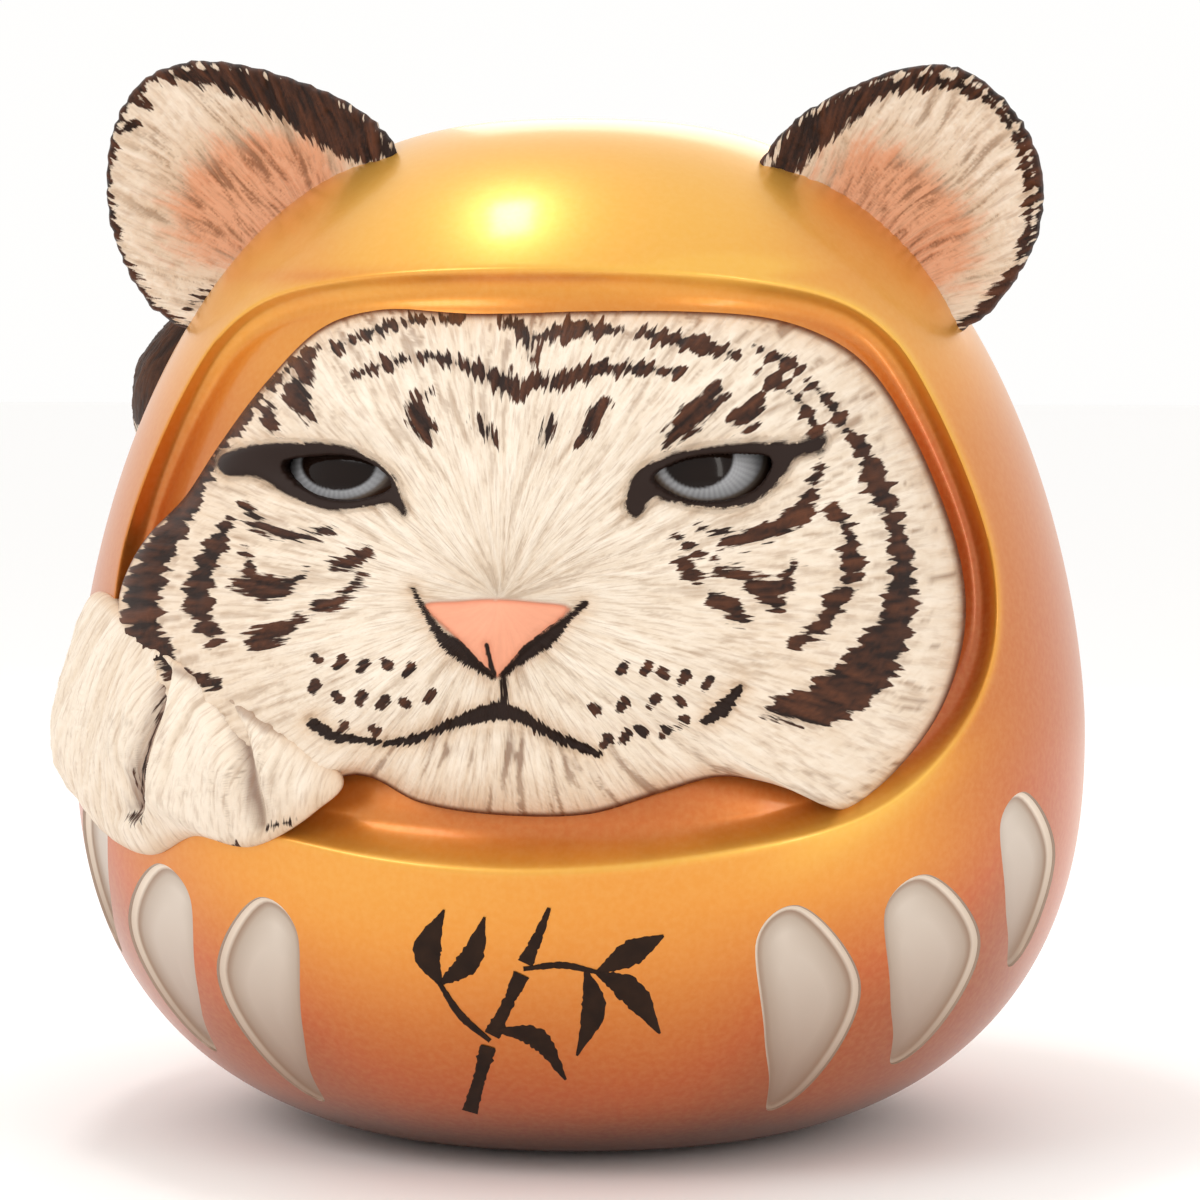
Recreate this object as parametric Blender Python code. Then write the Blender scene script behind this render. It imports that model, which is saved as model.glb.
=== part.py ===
"""Daruma doll with a tiger looking out of its face window.

A painted resin figurine: two hollow gold shells pinned together, a tiger head set in the face window from
behind, separate eyes, ears, paw and tail, and a weighted foot. All sizes below are in millimetres; the
last lines scale every mesh to metres. Front of the doll faces -Y, up is +Z, and the origin is the
middle of the face the doll stands on. Left and right in the node names are the doll's own.
"""
import math

import bmesh
import bpy
import numpy as np
from mathutils import Matrix, Vector

MM = 0.001

# ---------------------------------------------------------------- body
# Egg of two superellipse halves that meet at the belly. Each shape is (power up, power across): the larger
# they are, the fuller the shoulder.
BELLY_Z = 42.0
BELLY_R = 54.4
CROWN = 65.7
CROWN_SHAPE = (1.7, 2.7)
KEEL = 44.0
KEEL_SHAPE = (2.4, 2.8)
TOP_Z = BELLY_Z + CROWN
WALL = 5.0
SEAM_Y = 8.0
SEAM_GAP = 0.1
CLEAR = 0.25
BODY_STEPS = 60

# Foot: rim, counterbore for the pad and plate, and the lip the plate is screwed to.
RIM_Z = 0.3
BORE_R = 23.2
LIP_Z = 4.9
LIP_TOP = 10.0
LIP_R = 18.5

# ---------------------------------------------------------------- face window
# Crest of the rim, the right half seen from the front: (x, z) from the top middle to the bottom middle.
WINDOW_CREST = [(0, 91.5), (20, 90.5), (32, 87), (39, 78), (45, 62), (44, 49), (35, 39), (19, 35), (0, 33.5)]
WINDOW_MIDDLE = (0.0, 62.5)
# How far the opening lies inside the crest, and the head's flange outside the opening: (at the sides, at the top).
OPENING_INSET = (3.4, 4.3)
FLANGE_REACH = (1.2, 7.4)
WINDOW_DEPTH = 3.2
WINDOW_STEPS = 56

# ---------------------------------------------------------------- petal hollows
# One comma shape in its own width and half height, placed three times on the right and mirrored.
PETAL = [(-0.2, 1.0), (-0.5, 0.7), (-0.3, -0.15), (-0.1, -0.6), (0.15, -1.0), (0.4, -0.8), (0.5, 0.0), (0.3, 0.5)]
# (angle from the front in degrees, z, width in degrees, half height)
PETAL_PLACES = [(33, 18, 15, 11.5), (50, 21, 18, 10.5), (66, 29, 16, 9.5)]
PETAL_DEPTH = 1.3

# ---------------------------------------------------------------- face
FACE_X = -1.4
EYE_RIGHT = (-16.5, -34.5, 70.5)
EYE_LEFT = (15.0, -35.0, 71.0)
EYE_R = 7.4
# Middles of the openings between the lids, (x, z).
LIDS_RIGHT = (-20.0, 70.5)
LIDS_LEFT = (18.0, 71.0)
# Almond of the open eye, (along, up) from its middle, nose end first.
ALMOND = [(-6.5, -2), (-4, 1), (0, 2.5), (6.5, 1), (4, -2), (0, -3)]
# Soft lumps and hollows of the face: (x, z, half width, half height, how far out).
FACE_FORMS = [
    (-19, 77, 8.5, 3, 1.6), (17, 77.5, 8.5, 3, 1.6), (-20, 70.5, 8, 4, -2.6), (18, 71, 8, 4, -2.6),
    (FACE_X, 83, 16, 6, 0.7), (FACE_X, 68, 7.5, 9, 2.2), (FACE_X, 60, 7.5, 6, 3.4), (FACE_X, 56.5, 5, 3, 2.4),
    (-12, 51.5, 8.5, 5.5, 3.6), (9, 51.5, 8.5, 5.5, 3.6), (FACE_X, 51.5, 15, 9.5, 2.4), (-2, 42.5, 9.5, 4, 3.2),
    (-31, 57, 9, 10, 0.8), (31, 55, 9, 12, 1.4),
]
FLANGE = 3.0
FLANGE_GAP = 0.75

# ---------------------------------------------------------------- ears
# Outlines seen from the front, (x, z), continued down into the dome.
EAR_RIGHT = [(-18, 101), (-20, 107), (-30, 112), (-42, 113.5), (-49, 108), (-50, 97), (-45, 87.5), (-36, 84.5),
             (-28, 90)]
EAR_LEFT = [(20, 99), (23, 106), (32, 111.5), (41, 112.5), (48, 106), (49.5, 97), (45, 88), (37, 84), (28, 89)]

# ---------------------------------------------------------------- paw and tail
# Outline of the paw on the body as (angle from the front, z): the upper edge lies over the face.
PAW_UPPER = [(-19, 42.5), (-30, 49.5), (-50, 56.5), (-66, 60.5)]
PAW_LOWER = [(-80, 57), (-88, 48), (-85, 39), (-68, 35.5), (-48, 32.5), (-32, 34.5)]
# Toes of the paw: (angle, z, half width in degrees, half height, how far out).
TOES = [(-76, 42, 8, 7, 1.8), (-50, 41, 10, 7, 3.0), (-30, 42, 8, 4.5, 2.4)]
# Middle line of the tail on the back as (angle from the front, z, half width, height).
TAIL = [(-176, 15, 3.6, 3.2), (-158, 27.5, 5, 5.4), (-135, 48.5, 5.4, 6), (-114, 71, 5.9, 6.8), (-103, 82, 5.6, 6.8),
        (-97, 88, 2.4, 3.4)]


def egg_radius(z):
    """Radius of the smooth egg at a height."""
    rise = z - BELLY_Z
    if rise > 0:
        reach, (up, across) = rise / CROWN, CROWN_SHAPE
    else:
        reach, (up, across) = -rise / KEEL, KEEL_SHAPE
    return BELLY_R * max(0.0, 1 - reach ** up) ** (1 / across)


def body_rows(below=10, over=17):
    """Rows (z, radius) of the outside from the rim to the top, closer together at the ends."""
    low = [BELLY_Z - (BELLY_Z - RIM_Z) * math.sin(math.pi / 2 * k / below) for k in range(below, 0, -1)]
    high = [BELLY_Z + CROWN * math.sin(math.pi / 2 * k / over) for k in range(over)]
    return [(z, egg_radius(z)) for z in low + high] + [(TOP_Z, 0.0)]


def body_radius(z):
    """Radius of the body at a height, straight between its rows like the mesh."""
    rows = body_rows()
    return np.interp(z, [row[0] for row in rows], [row[1] for row in rows])


def loop_points(corners, count):
    """Evenly spaced points on a smooth closed curve through the corners."""
    c = np.array(corners, float)
    n = len(c)
    fine = []
    for i in range(n):
        p0, p1, p2, p3 = c[i - 1], c[i], c[(i + 1) % n], c[(i + 2) % n]
        for t in np.linspace(0.0, 1.0, 12, endpoint=False):
            fine.append(0.5 * (2 * p1 + (p2 - p0) * t + (2 * p0 - 5 * p1 + 4 * p2 - p3) * t ** 2
                               + (3 * p1 - p0 - 3 * p2 + p3) * t ** 3))
    fine = np.array(fine)
    closed = np.vstack([fine, fine[:1]])
    run = np.concatenate([[0.0], np.cumsum(np.hypot(*np.diff(closed, axis=0).T))])
    at = np.linspace(0.0, run[-1], count, endpoint=False)
    return np.column_stack([np.interp(at, run, closed[:, 0]), np.interp(at, run, closed[:, 1])])


def mirrored(half):
    """A closed outline from its right half, listed from top middle to bottom middle."""
    return half + [(-x, z) for x, z in reversed(half[1:-1])]


def window_ring(inset=0.0, reach_out=0.0):
    """The window's outline at even angles about its middle: 0, 0 the crest, 1, 0 the opening, 1, 1 the flange."""
    centre = np.array(WINDOW_MIDDLE)
    loop = loop_points(mirrored(WINDOW_CREST), 720) - centre
    angle = np.arctan2(loop[:, 1], loop[:, 0])
    order = np.argsort(angle)
    at = np.linspace(-math.pi, math.pi, WINDOW_STEPS, endpoint=False)
    r = np.interp(at, angle[order], np.hypot(loop[:, 0], loop[:, 1])[order], period=2 * math.pi)
    side, top = np.cos(at) ** 2, np.sin(at) ** 2
    r = r - inset * (OPENING_INSET[0] * side + OPENING_INSET[1] * top)
    r = r + reach_out * (FLANGE_REACH[0] * side + FLANGE_REACH[1] * top)
    return centre + np.column_stack([r * np.cos(at), r * np.sin(at)])


def on_body(x, z, out=0.0):
    """Depth (y) of the front of the body at (x, z), moved out along the radius."""
    r = body_radius(z) + out
    return -np.sqrt(np.maximum(r * r - x * x, 1.0))


def wrapped(angle, z, out):
    """A point at an angle from the front (degrees), a height and a distance from the body surface."""
    r = body_radius(z) + out
    a = np.radians(angle)
    return np.column_stack([r * np.sin(a), -r * np.cos(a), np.broadcast_to(z, np.shape(a))])


def add_mesh(name, verts, faces):
    mesh = bpy.data.meshes.new(name)
    mesh.from_pydata([tuple(float(c) for c in v) for v in verts], [], faces)
    mesh.update()
    obj = bpy.data.objects.new(name, mesh)
    bpy.context.scene.collection.objects.link(obj)
    bm = bmesh.new()
    bm.from_mesh(mesh)
    bmesh.ops.triangulate(bm, faces=bm.faces[:])
    bmesh.ops.recalc_face_normals(bm, faces=bm.faces[:])
    bm.to_mesh(mesh)
    bm.free()
    return obj


def rings_mesh(name, rings, start=None, end=None):
    """A closed skin over a stack of equal rings, ended by a point or by a flat face."""
    count = len(rings[0])
    verts = [v for ring in rings for v in ring]
    faces = []
    for k in range(len(rings) - 1):
        for i in range(count):
            j = (i + 1) % count
            faces.append((k * count + i, k * count + j, (k + 1) * count + j, (k + 1) * count + i))
    last = (len(rings) - 1) * count
    if start is None:
        faces.append(tuple(range(count)))
    else:
        verts.append(start)
        faces += [(len(verts) - 1, (i + 1) % count, i) for i in range(count)]
    if end is None:
        faces.append(tuple(last + i for i in range(count)))
    else:
        verts.append(end)
        faces += [(len(verts) - 1, last + i, last + (i + 1) % count) for i in range(count)]
    return add_mesh(name, verts, faces)


def turned(name, profile, steps=BODY_STEPS, origin=(0, 0, 0), axis=(0, 0, 1)):
    """A turned solid: (radius, height) points from the bottom middle to the top middle about an axis."""
    turn = Vector((0, 0, 1)).rotation_difference(Vector(axis).normalized()).to_matrix()
    base = Vector(origin)

    def place(r, h, a):
        return base + turn @ Vector((r * math.cos(a), r * math.sin(a), h))

    rings = []
    for r, h in profile[1:-1]:
        rings.append([place(r, h, 2 * math.pi * i / steps) for i in range(steps)])
    return rings_mesh(name, rings, place(0, profile[0][1], 0), place(0, profile[-1][1], 0))


def rod(name, start, axis, length, radius, steps=16, chamfer=0.0):
    c = chamfer
    profile = [(0, 0), (radius - c, 0), (radius, c), (radius, length - c), (radius - c, length), (0, length)]
    if c == 0.0:
        profile = [(0, 0), (radius, 0), (radius, length), (0, length)]
    return turned(name, profile, steps, start, axis)


def settle(obj):
    """Keep the shape the modifiers give and drop them."""
    graph = bpy.context.evaluated_depsgraph_get()
    graph.update()
    mesh = bpy.data.meshes.new_from_object(obj.evaluated_get(graph))
    old = obj.data
    obj.modifiers.clear()
    obj.data = mesh
    bpy.data.meshes.remove(old)
    return obj


def cut(obj, tool):
    """Take the tool's shape out of a piece and throw the tool away."""
    mod = obj.modifiers.new("cut", "BOOLEAN")
    mod.operation = "DIFFERENCE"
    mod.solver = "EXACT"
    mod.object = tool
    settle(obj)
    bpy.data.objects.remove(tool)
    return obj


def block(name, low, high):
    (x0, y0, z0), (x1, y1, z1) = low, high
    verts = [(x, y, z) for x in (x0, x1) for y in (y0, y1) for z in (z0, z1)]
    faces = [(0, 1, 3, 2), (4, 6, 7, 5), (0, 4, 5, 1), (2, 3, 7, 6), (0, 2, 6, 4), (1, 5, 7, 3)]
    return add_mesh(name, verts, faces)


def egg(name, out, steps=BODY_STEPS):
    """The whole body as a solid, a little larger or smaller."""
    rows = body_rows()
    profile = [(0, RIM_Z - out)] + [(r + out, z) for z, r in rows[:-1]] + [(0, TOP_Z + out)]
    profile[1] = (rows[0][1] + out, RIM_Z - out)
    return turned(name, profile, steps)


# ---------------------------------------------------------------- shells
def hollow_body():
    rows = body_rows()
    path = [(r, z) for z, r in rows]
    inner = [(float(body_radius(z)) - WALL, z) for z in (96, 91, 84, 76, 68, 59, 50, 41, 33, 25, 16)]
    cavity = [(0.0, TOP_Z - WALL - 1.0), (12.0, TOP_Z - WALL - 1.6), (18.0, TOP_Z - WALL - 3.8)] + inner
    cavity += [(36.0, 11.0), (31.0, LIP_TOP), (LIP_R, LIP_TOP), (LIP_R, LIP_Z), (BORE_R, LIP_Z), (BORE_R, RIM_Z)]
    steps = BODY_STEPS
    verts, faces = [], []
    loop = [(r, z) for r, z in path] + [(r, z) for r, z in cavity]
    index = []
    for r, z in loop:
        if r == 0.0:
            index.append([len(verts)] * steps)
            verts.append((0.0, 0.0, z))
        else:
            start = len(verts)
            verts += [(r * math.cos(2 * math.pi * i / steps), r * math.sin(2 * math.pi * i / steps), z)
                      for i in range(steps)]
            index.append([start + i for i in range(steps)])
    top = len(path) - 1
    pairs = [(k, k + 1) for k in range(len(loop) - 1) if k != top] + [(len(loop) - 1, 0)]
    for a, b in pairs:
        for i in range(steps):
            j = (i + 1) % steps
            quad = [index[a][i], index[a][j], index[b][j], index[b][i]]
            face = tuple(dict.fromkeys(quad))
            if len(face) > 2:
                faces.append(face)
    return add_mesh("shell", verts, faces)


def window_cutter():
    crest = window_ring()
    inner = window_ring(1.0)
    rings = [[(x, -75.0, z) for x, z in crest]]
    for s in (0.0, 0.3, 0.62, 1.0):
        p = crest + (inner - crest) * s
        depth = 0.15 + (WINDOW_DEPTH - 0.15) * math.sin(s * math.pi / 2)
        y = on_body(p[:, 0], p[:, 1], -depth)
        rings.append(list(zip(p[:, 0], y, p[:, 1])))
    rings.append([(x, -12.0, z) for x, z in inner])
    return rings_mesh("window", rings)


def petal_cutter(place, side):
    angle, z, width, half_height = place
    loop = loop_points([(angle + width * a, z + half_height * b) for a, b in PETAL], 22)
    middle = loop.mean(axis=0)
    rings = []
    # The first ring keeps the tool clear of the bulge of the body.
    for scale, out in ((0.6, 4.0), (1.05, 1.0), (0.97, -0.5), (0.86, -1.1), (0.5, -PETAL_DEPTH)):
        p = middle + (loop - middle) * scale
        rings.append(wrapped(side * p[:, 0], p[:, 1], out))
    end = wrapped(np.array([side * middle[0]]), middle[1], -PETAL_DEPTH)[0]
    start = wrapped(np.array([side * middle[0]]), middle[1], 5.0)[0]
    return rings_mesh("petal", rings, start, end)


shell = hollow_body()
cut(shell, window_cutter())
for place in PETAL_PLACES:
    for side in (1, -1):
        cut(shell, petal_cutter(place, side))

big = 90.0
shell_front = shell
shell_front.name = "shell_front"
shell_rear = shell.copy()
shell_rear.data = shell.data.copy()
shell_rear.name = "shell_rear"
bpy.context.scene.collection.objects.link(shell_rear)
cut(shell_front, block("half", (-big, SEAM_Y - SEAM_GAP, -big), (big, big, 2 * big)))
cut(shell_rear, block("half", (-big, -big, -big), (big, SEAM_Y + SEAM_GAP, 2 * big)))

# Dowels across the seam, in the middle of the wall.
DOWEL_R = 1.0
DOWEL_LENGTH = 8.0
for number, (side, z) in enumerate(((-1, 26.0), (1, 26.0), (-1, 76.0), (1, 76.0)), start=1):
    x = side * math.sqrt((float(body_radius(z)) - WALL / 2) ** 2 - SEAM_Y ** 2)
    start = (x, SEAM_Y - DOWEL_LENGTH / 2, z)
    for part in (shell_front, shell_rear):
        hole_start = (x, start[1] - 0.3, z)
        cut(part, rod("hole", hole_start, (0, 1, 0), DOWEL_LENGTH + 0.6, DOWEL_R + 0.15, 16))
    rod(f"shell_dowel_{number}", start, (0, 1, 0), DOWEL_LENGTH, DOWEL_R, 16, 0.2)


# ---------------------------------------------------------------- head
def inside_paw(x, z):
    """How far a point of the face lies under the paw, 0 to 1."""
    angle = np.interp(z, [p[1] for p in PAW_UPPER], [p[0] for p in PAW_UPPER])
    edge = body_radius(z) * np.sin(np.radians(angle))
    return np.clip((edge + 3.0 - x) / 2.0, 0.0, 1.0) * (z < 61.0)


def face_out(x, z, to_edge):
    """Distance of the tiger's face from the body surface, out positive."""
    out = -2.4 * np.exp(-to_edge / 3.2)
    for cx, cz, wx, wz, amount in FACE_FORMS:
        out = out + amount * np.exp(-((x - cx) / wx) ** 2 - ((z - cz) / wz) ** 2) * (1 - np.exp(-to_edge / 2.5))
    under = inside_paw(x, z)
    return out * (1 - under) + np.minimum(out, -1.2) * under


def build_head():
    inner = window_ring(1.0)
    flange = window_ring(1.0, 1.0)
    centre = np.array([FACE_X, 60.0])
    fit = inner + (centre - inner) * (CLEAR + 0.1) / np.linalg.norm(inner - centre, axis=1)[:, None]
    reach = np.linalg.norm(fit - centre, axis=1)
    rings = []
    for s in (0.07, 0.14, 0.21, 0.28, 0.36, 0.44, 0.52, 0.6, 0.68, 0.76, 0.84, 0.9, 0.95, 1.0):
        p = centre + (fit - centre) * s
        out = face_out(p[:, 0], p[:, 1], (1 - s) * reach)
        y = on_body(p[:, 0], p[:, 1], out)
        rings.append(list(zip(p[:, 0], y, p[:, 1])))
    behind = -WALL - FLANGE_GAP
    rings.append(list(zip(fit[:, 0], on_body(fit[:, 0], fit[:, 1], behind), fit[:, 1])))
    for ring, out in ((flange, behind), (flange, behind - FLANGE)):
        rings.append(list(zip(ring[:, 0], on_body(ring[:, 0], ring[:, 1], out), ring[:, 1])))
    for s, out in ((0.86, behind - FLANGE), (0.6, -13.0), (0.3, -16.0)):
        p = centre + (flange - centre) * s
        rings.append(list(zip(p[:, 0], on_body(p[:, 0], p[:, 1], out), p[:, 1])))
    tip = (centre[0], float(on_body(centre[0], centre[1], face_out(centre[0], centre[1], 30.0))), centre[1])
    back = (centre[0], float(on_body(centre[0], centre[1], -16.5)), centre[1])
    return rings_mesh("head", rings, tip, back)


def almond_cutter(middle, depth, side):
    loop = loop_points([(middle[0] + side * a, middle[1] + b) for a, b in ALMOND], 20)
    return rings_mesh("lids", [[(x, y, z) for x, z in loop] for y in (-60.0, depth)])


def ball(name, centre, radius, steps=24, rows=14):
    profile = [(radius * math.sin(math.pi * k / rows), -radius * math.cos(math.pi * k / rows))
               for k in range(rows + 1)]
    return turned(name, profile, steps, centre, (0, -1, 0))


head = build_head()
for name, centre, lids, side in (("eye_right", EYE_RIGHT, LIDS_RIGHT, -1), ("eye_left", EYE_LEFT, LIDS_LEFT, 1)):
    gap = EYE_R + CLEAR
    round_end = [(gap * math.sin(math.pi * k / 16), -gap * math.cos(math.pi * k / 16)) for k in range(9)]
    cut(head, turned("socket", round_end + [(gap, 40.0), (0, 40.0)], 24, centre, (0, 1, 0)))
    cut(head, almond_cutter(lids, centre[1] - 2.0, side))
    ball(name, centre, EYE_R)


# ---------------------------------------------------------------- screws
def screw(name, start, axis, head_r, head_h, shank_r, length):
    """A pan screw: start is the face of its head, the axis points to its tip."""
    profile = [
        (0, 0.5 * head_h), (0.42 * head_r, 0.5 * head_h), (0.5 * head_r, 0), (0.85 * head_r, 0),
        (head_r, 0.3 * head_h), (head_r, head_h), (shank_r, head_h), (shank_r, length - 0.8),
        (0.4 * shank_r, length), (0, length),
    ]
    return turned(name, profile, 16, start, axis)


def step_hole(start, axis, narrow, narrow_length, wide, wide_length):
    """A tool for a screw hole: a narrow bore that opens into a wide one."""
    end = narrow_length + wide_length
    profile = [(0, 0), (narrow, 0), (narrow, narrow_length), (wide, narrow_length), (wide, end), (0, end)]
    return turned("hole", profile, 16, start, axis)


HEAD_SCREWS = ((-13.0, 92.0), (13.0, 92.0), (-13.0, 32.4), (13.0, 32.4))
for number, (x, z) in enumerate(HEAD_SCREWS, start=1):
    wall_y = float(on_body(x, z, -WALL))
    seat = wall_y + FLANGE_GAP + FLANGE + 1.0
    cut(head, step_hole((x, seat - 20.0, z), (0, 1, 0), 1.35, 20.0, 2.6, 14.0))
    cut(shell_front, rod("hole", (x, wall_y - 2.8, z), (0, 1, 0), 8.0, 1.3, 16))
    screw(f"head_screw_{number}", (x, seat + 1.5, z), (0, -1, 0), 2.2, 1.4, 1.1, seat + 1.5 - (wall_y - 2.4))


# ---------------------------------------------------------------- ears
def ear(name, outline, side):
    loop = loop_points(outline, 40)
    middle = np.array([side * 36.0, 98.5])
    rings = []

    def rim_y(p):
        return -15.5 + 0.26 * (np.abs(p[:, 0]) - 20.0)

    for s, dip in ((0.12, 4.6), (0.34, 4.2), (0.56, 3.2), (0.76, 1.7), (0.9, 0.5), (0.97, -0.1), (1.0, 0.7)):
        p = middle + (loop - middle) * s
        rings.append(list(zip(p[:, 0], rim_y(p) + dip, p[:, 1])))
    for s, dip in ((1.0, 2.2), (0.96, 3.6), (0.85, 6.0), (0.65, 8.6), (0.4, 10.4), (0.15, 11.2)):
        p = middle + (loop - middle) * s
        rings.append(list(zip(p[:, 0], rim_y(p) + dip, p[:, 1])))
    y0 = -15.5 + 0.26 * 16.0
    obj = rings_mesh(name, rings, (middle[0], y0 + 4.7, middle[1]), (middle[0], y0 + 11.3, middle[1]))
    return cut(obj, egg("dome", CLEAR))


PIN_R = 1.2
for name, outline, side in (("ear_right", EAR_RIGHT, -1), ("ear_left", EAR_LEFT, 1)):
    part = ear(name, outline, side)
    axis = Vector((side * 0.74, 0.0, 0.67)).normalized()
    foot = Vector((side * 31.6, -4.6, 90.4))
    hole = PIN_R + 0.15
    for target in (shell_front, part):
        cut(target, rod("hole", foot - axis * 0.3, axis, 9.6, hole, 16))
    rod(name.replace("ear", "ear_pin"), foot, axis, 9.0, PIN_R, 16, 0.25)


# ---------------------------------------------------------------- paw and tail
def build_paw():
    loop = loop_points(PAW_UPPER + PAW_LOWER, 48)
    middle = np.array([-54.0, 46.0])
    rings = []
    for s in (0.1, 0.22, 0.34, 0.46, 0.58, 0.7, 0.8, 0.88, 0.94, 0.98, 1.0):
        p = middle + (loop - middle) * s
        out = CLEAR + 3.4 * np.sqrt(max(0.0, 1 - s ** 3))
        for ca, cz, wa, wz, amount in TOES:
            out = out + amount * np.exp(-((p[:, 0] - ca) / wa) ** 2 - ((p[:, 1] - cz) / wz) ** 2) * (1 - s ** 4)
        rings.append(wrapped(p[:, 0], p[:, 1], out + (0.5 if s == 1.0 else 0.0)))
    for s in (1.0, 0.9, 0.75, 0.6, 0.45, 0.3, 0.15):
        p = middle + (loop - middle) * s
        rings.append(wrapped(p[:, 0], p[:, 1], CLEAR))
    top = wrapped(np.array([middle[0]]), middle[1], CLEAR + 3.4 + 2.4)[0]
    under = wrapped(np.array([middle[0]]), middle[1], CLEAR)[0]
    return rings_mesh("paw", rings, top, under)


def build_tail():
    path = np.array(TAIL)
    rows = []
    at = np.linspace(0, len(path) - 1, 26)
    for k in at:
        i = min(int(k), len(path) - 2)
        rows.append(path[i] + (path[i + 1] - path[i]) * (k - i))
    rows = np.array(rows)
    rings = []
    for k, (angle, z, half, high) in enumerate(rows):
        ahead, behind = rows[min(k + 1, len(rows) - 1)], rows[max(k - 1, 0)]
        r = float(body_radius(z))
        along = np.array([math.radians(ahead[0] - behind[0]) * r, ahead[1] - behind[1]])
        along /= np.linalg.norm(along)
        across = np.array([-along[1], along[0]])
        ring = []
        for a in np.linspace(0, math.pi, 9):
            off = half * math.cos(a)
            ring.append((off, CLEAR + 0.4 + high * math.sin(a)))
        ring += [(off, CLEAR) for off in np.linspace(-half, half, 5)]
        points = []
        for off, out in ring:
            here = angle + math.degrees(across[0] * off / r)
            height = z + across[1] * off
            points.append(wrapped(np.array([here]), height, out)[0])
        rings.append(points)
    return rings_mesh("tail", rings)


def radial_pin(name, angle, z, inner, outer, targets):
    a = math.radians(angle)
    axis = Vector((math.sin(a), -math.cos(a), 0))
    start = axis * (float(body_radius(z)) + inner) + Vector((0, 0, z))
    for target in targets:
        cut(target, rod("hole", start - axis * 0.3, axis, outer - inner + 0.6, PIN_R + 0.15, 16))
    rod(name, start, axis, outer - inner, PIN_R, 16, 0.25)


paw = build_paw()
radial_pin("paw_pin", -62.0, 42.0, -4.2, 2.8, (shell_front, paw))
tail = build_tail()
radial_pin("tail_pin", -135.0, 48.5, -4.2, 3.4, (shell_rear, tail))

# ---------------------------------------------------------------- foot
PAD_H = 1.4
PLATE_LOW = PAD_H + 0.2
PLATE_TOP = LIP_Z - 0.15
plate = turned("base_plate", [(0, PLATE_LOW), (22.6, PLATE_LOW), (22.9, PLATE_LOW + 0.3), (22.9, PLATE_TOP),
                              (0, PLATE_TOP)], 48)
turned("foot_pad", [(0, 0), (22.2, 0), (22.6, 0.3), (22.6, PAD_H), (0, PAD_H)], 48)
ballast = turned("ballast", [(0, LIP_Z), (15.5, LIP_Z), (16.5, LIP_Z + 1), (16.5, 14.0), (15.5, 15.0), (0, 15.0)], 40)
for number, quarter in enumerate((45, 135, 225, 315), start=1):
    a = math.radians(quarter)
    spot = (20.9 * math.cos(a), 20.9 * math.sin(a), PLATE_LOW + 0.1)
    cut(plate, step_hole((spot[0], spot[1], 6.5), (0, 0, -1), 1.35, 5.0 - PLATE_LOW, 2.15, PLATE_LOW + 1.0))
    for part in (shell_front, shell_rear):
        cut(part, rod("hole", (spot[0], spot[1], 4.0), (0, 0, 1), 5.2, 1.3, 16))
    screw(f"base_screw_{number}", spot, (0, 0, 1), 1.95, 1.3, 1.1, 7.2)
cut(plate, step_hole((0, 0, 6.5), (0, 0, -1), 2.0, 4.6 - PLATE_LOW, 3.5, PLATE_LOW + 1.4))
cut(ballast, rod("hole", (0, 0, 3.0), (0, 0, 1), 10.6, 1.95, 16))
screw("ballast_screw", (0, 0, PLATE_LOW + 0.1), (0, 0, 1), 3.2, 1.7, 1.75, 11.4)

# ---------------------------------------------------------------- tidy
for name in ("Cube", "Light", "Camera"):
    spare = bpy.data.objects.get(name)
    if spare:
        bpy.data.objects.remove(spare)
for obj in bpy.data.objects:
    bm = bmesh.new()
    bm.from_mesh(obj.data)
    bmesh.ops.remove_doubles(bm, verts=bm.verts[:], dist=0.002)
    bmesh.ops.triangulate(bm, faces=bm.faces[:])
    bmesh.ops.dissolve_degenerate(bm, edges=bm.edges[:], dist=0.001)
    bmesh.ops.triangulate(bm, faces=bm.faces[:])
    bmesh.ops.scale(bm, vec=(MM, MM, MM), verts=bm.verts[:])
    bm.to_mesh(obj.data)
    bm.free()
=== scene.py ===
import math

import bmesh
import bpy
import numpy as np
from mathutils import Matrix, Vector


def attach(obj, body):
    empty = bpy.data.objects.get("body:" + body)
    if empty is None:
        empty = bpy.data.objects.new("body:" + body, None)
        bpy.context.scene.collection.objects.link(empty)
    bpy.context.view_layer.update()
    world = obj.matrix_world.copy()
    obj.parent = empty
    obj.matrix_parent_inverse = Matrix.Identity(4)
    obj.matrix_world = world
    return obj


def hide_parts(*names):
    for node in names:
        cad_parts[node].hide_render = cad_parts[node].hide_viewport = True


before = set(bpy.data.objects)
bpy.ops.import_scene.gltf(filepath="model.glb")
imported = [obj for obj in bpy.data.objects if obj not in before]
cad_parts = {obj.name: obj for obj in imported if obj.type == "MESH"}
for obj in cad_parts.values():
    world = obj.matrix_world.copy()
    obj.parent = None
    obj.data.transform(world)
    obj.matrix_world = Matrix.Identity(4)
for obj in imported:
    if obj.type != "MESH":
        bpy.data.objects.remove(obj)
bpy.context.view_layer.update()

# A gold daruma doll with a tiger looking out of its face window. Sizes are in millimetres until a mesh
# is made. The front faces -Y. Left and right in the names are the doll's own.
MM = 0.001
rng = np.random.default_rng(11)

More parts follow.
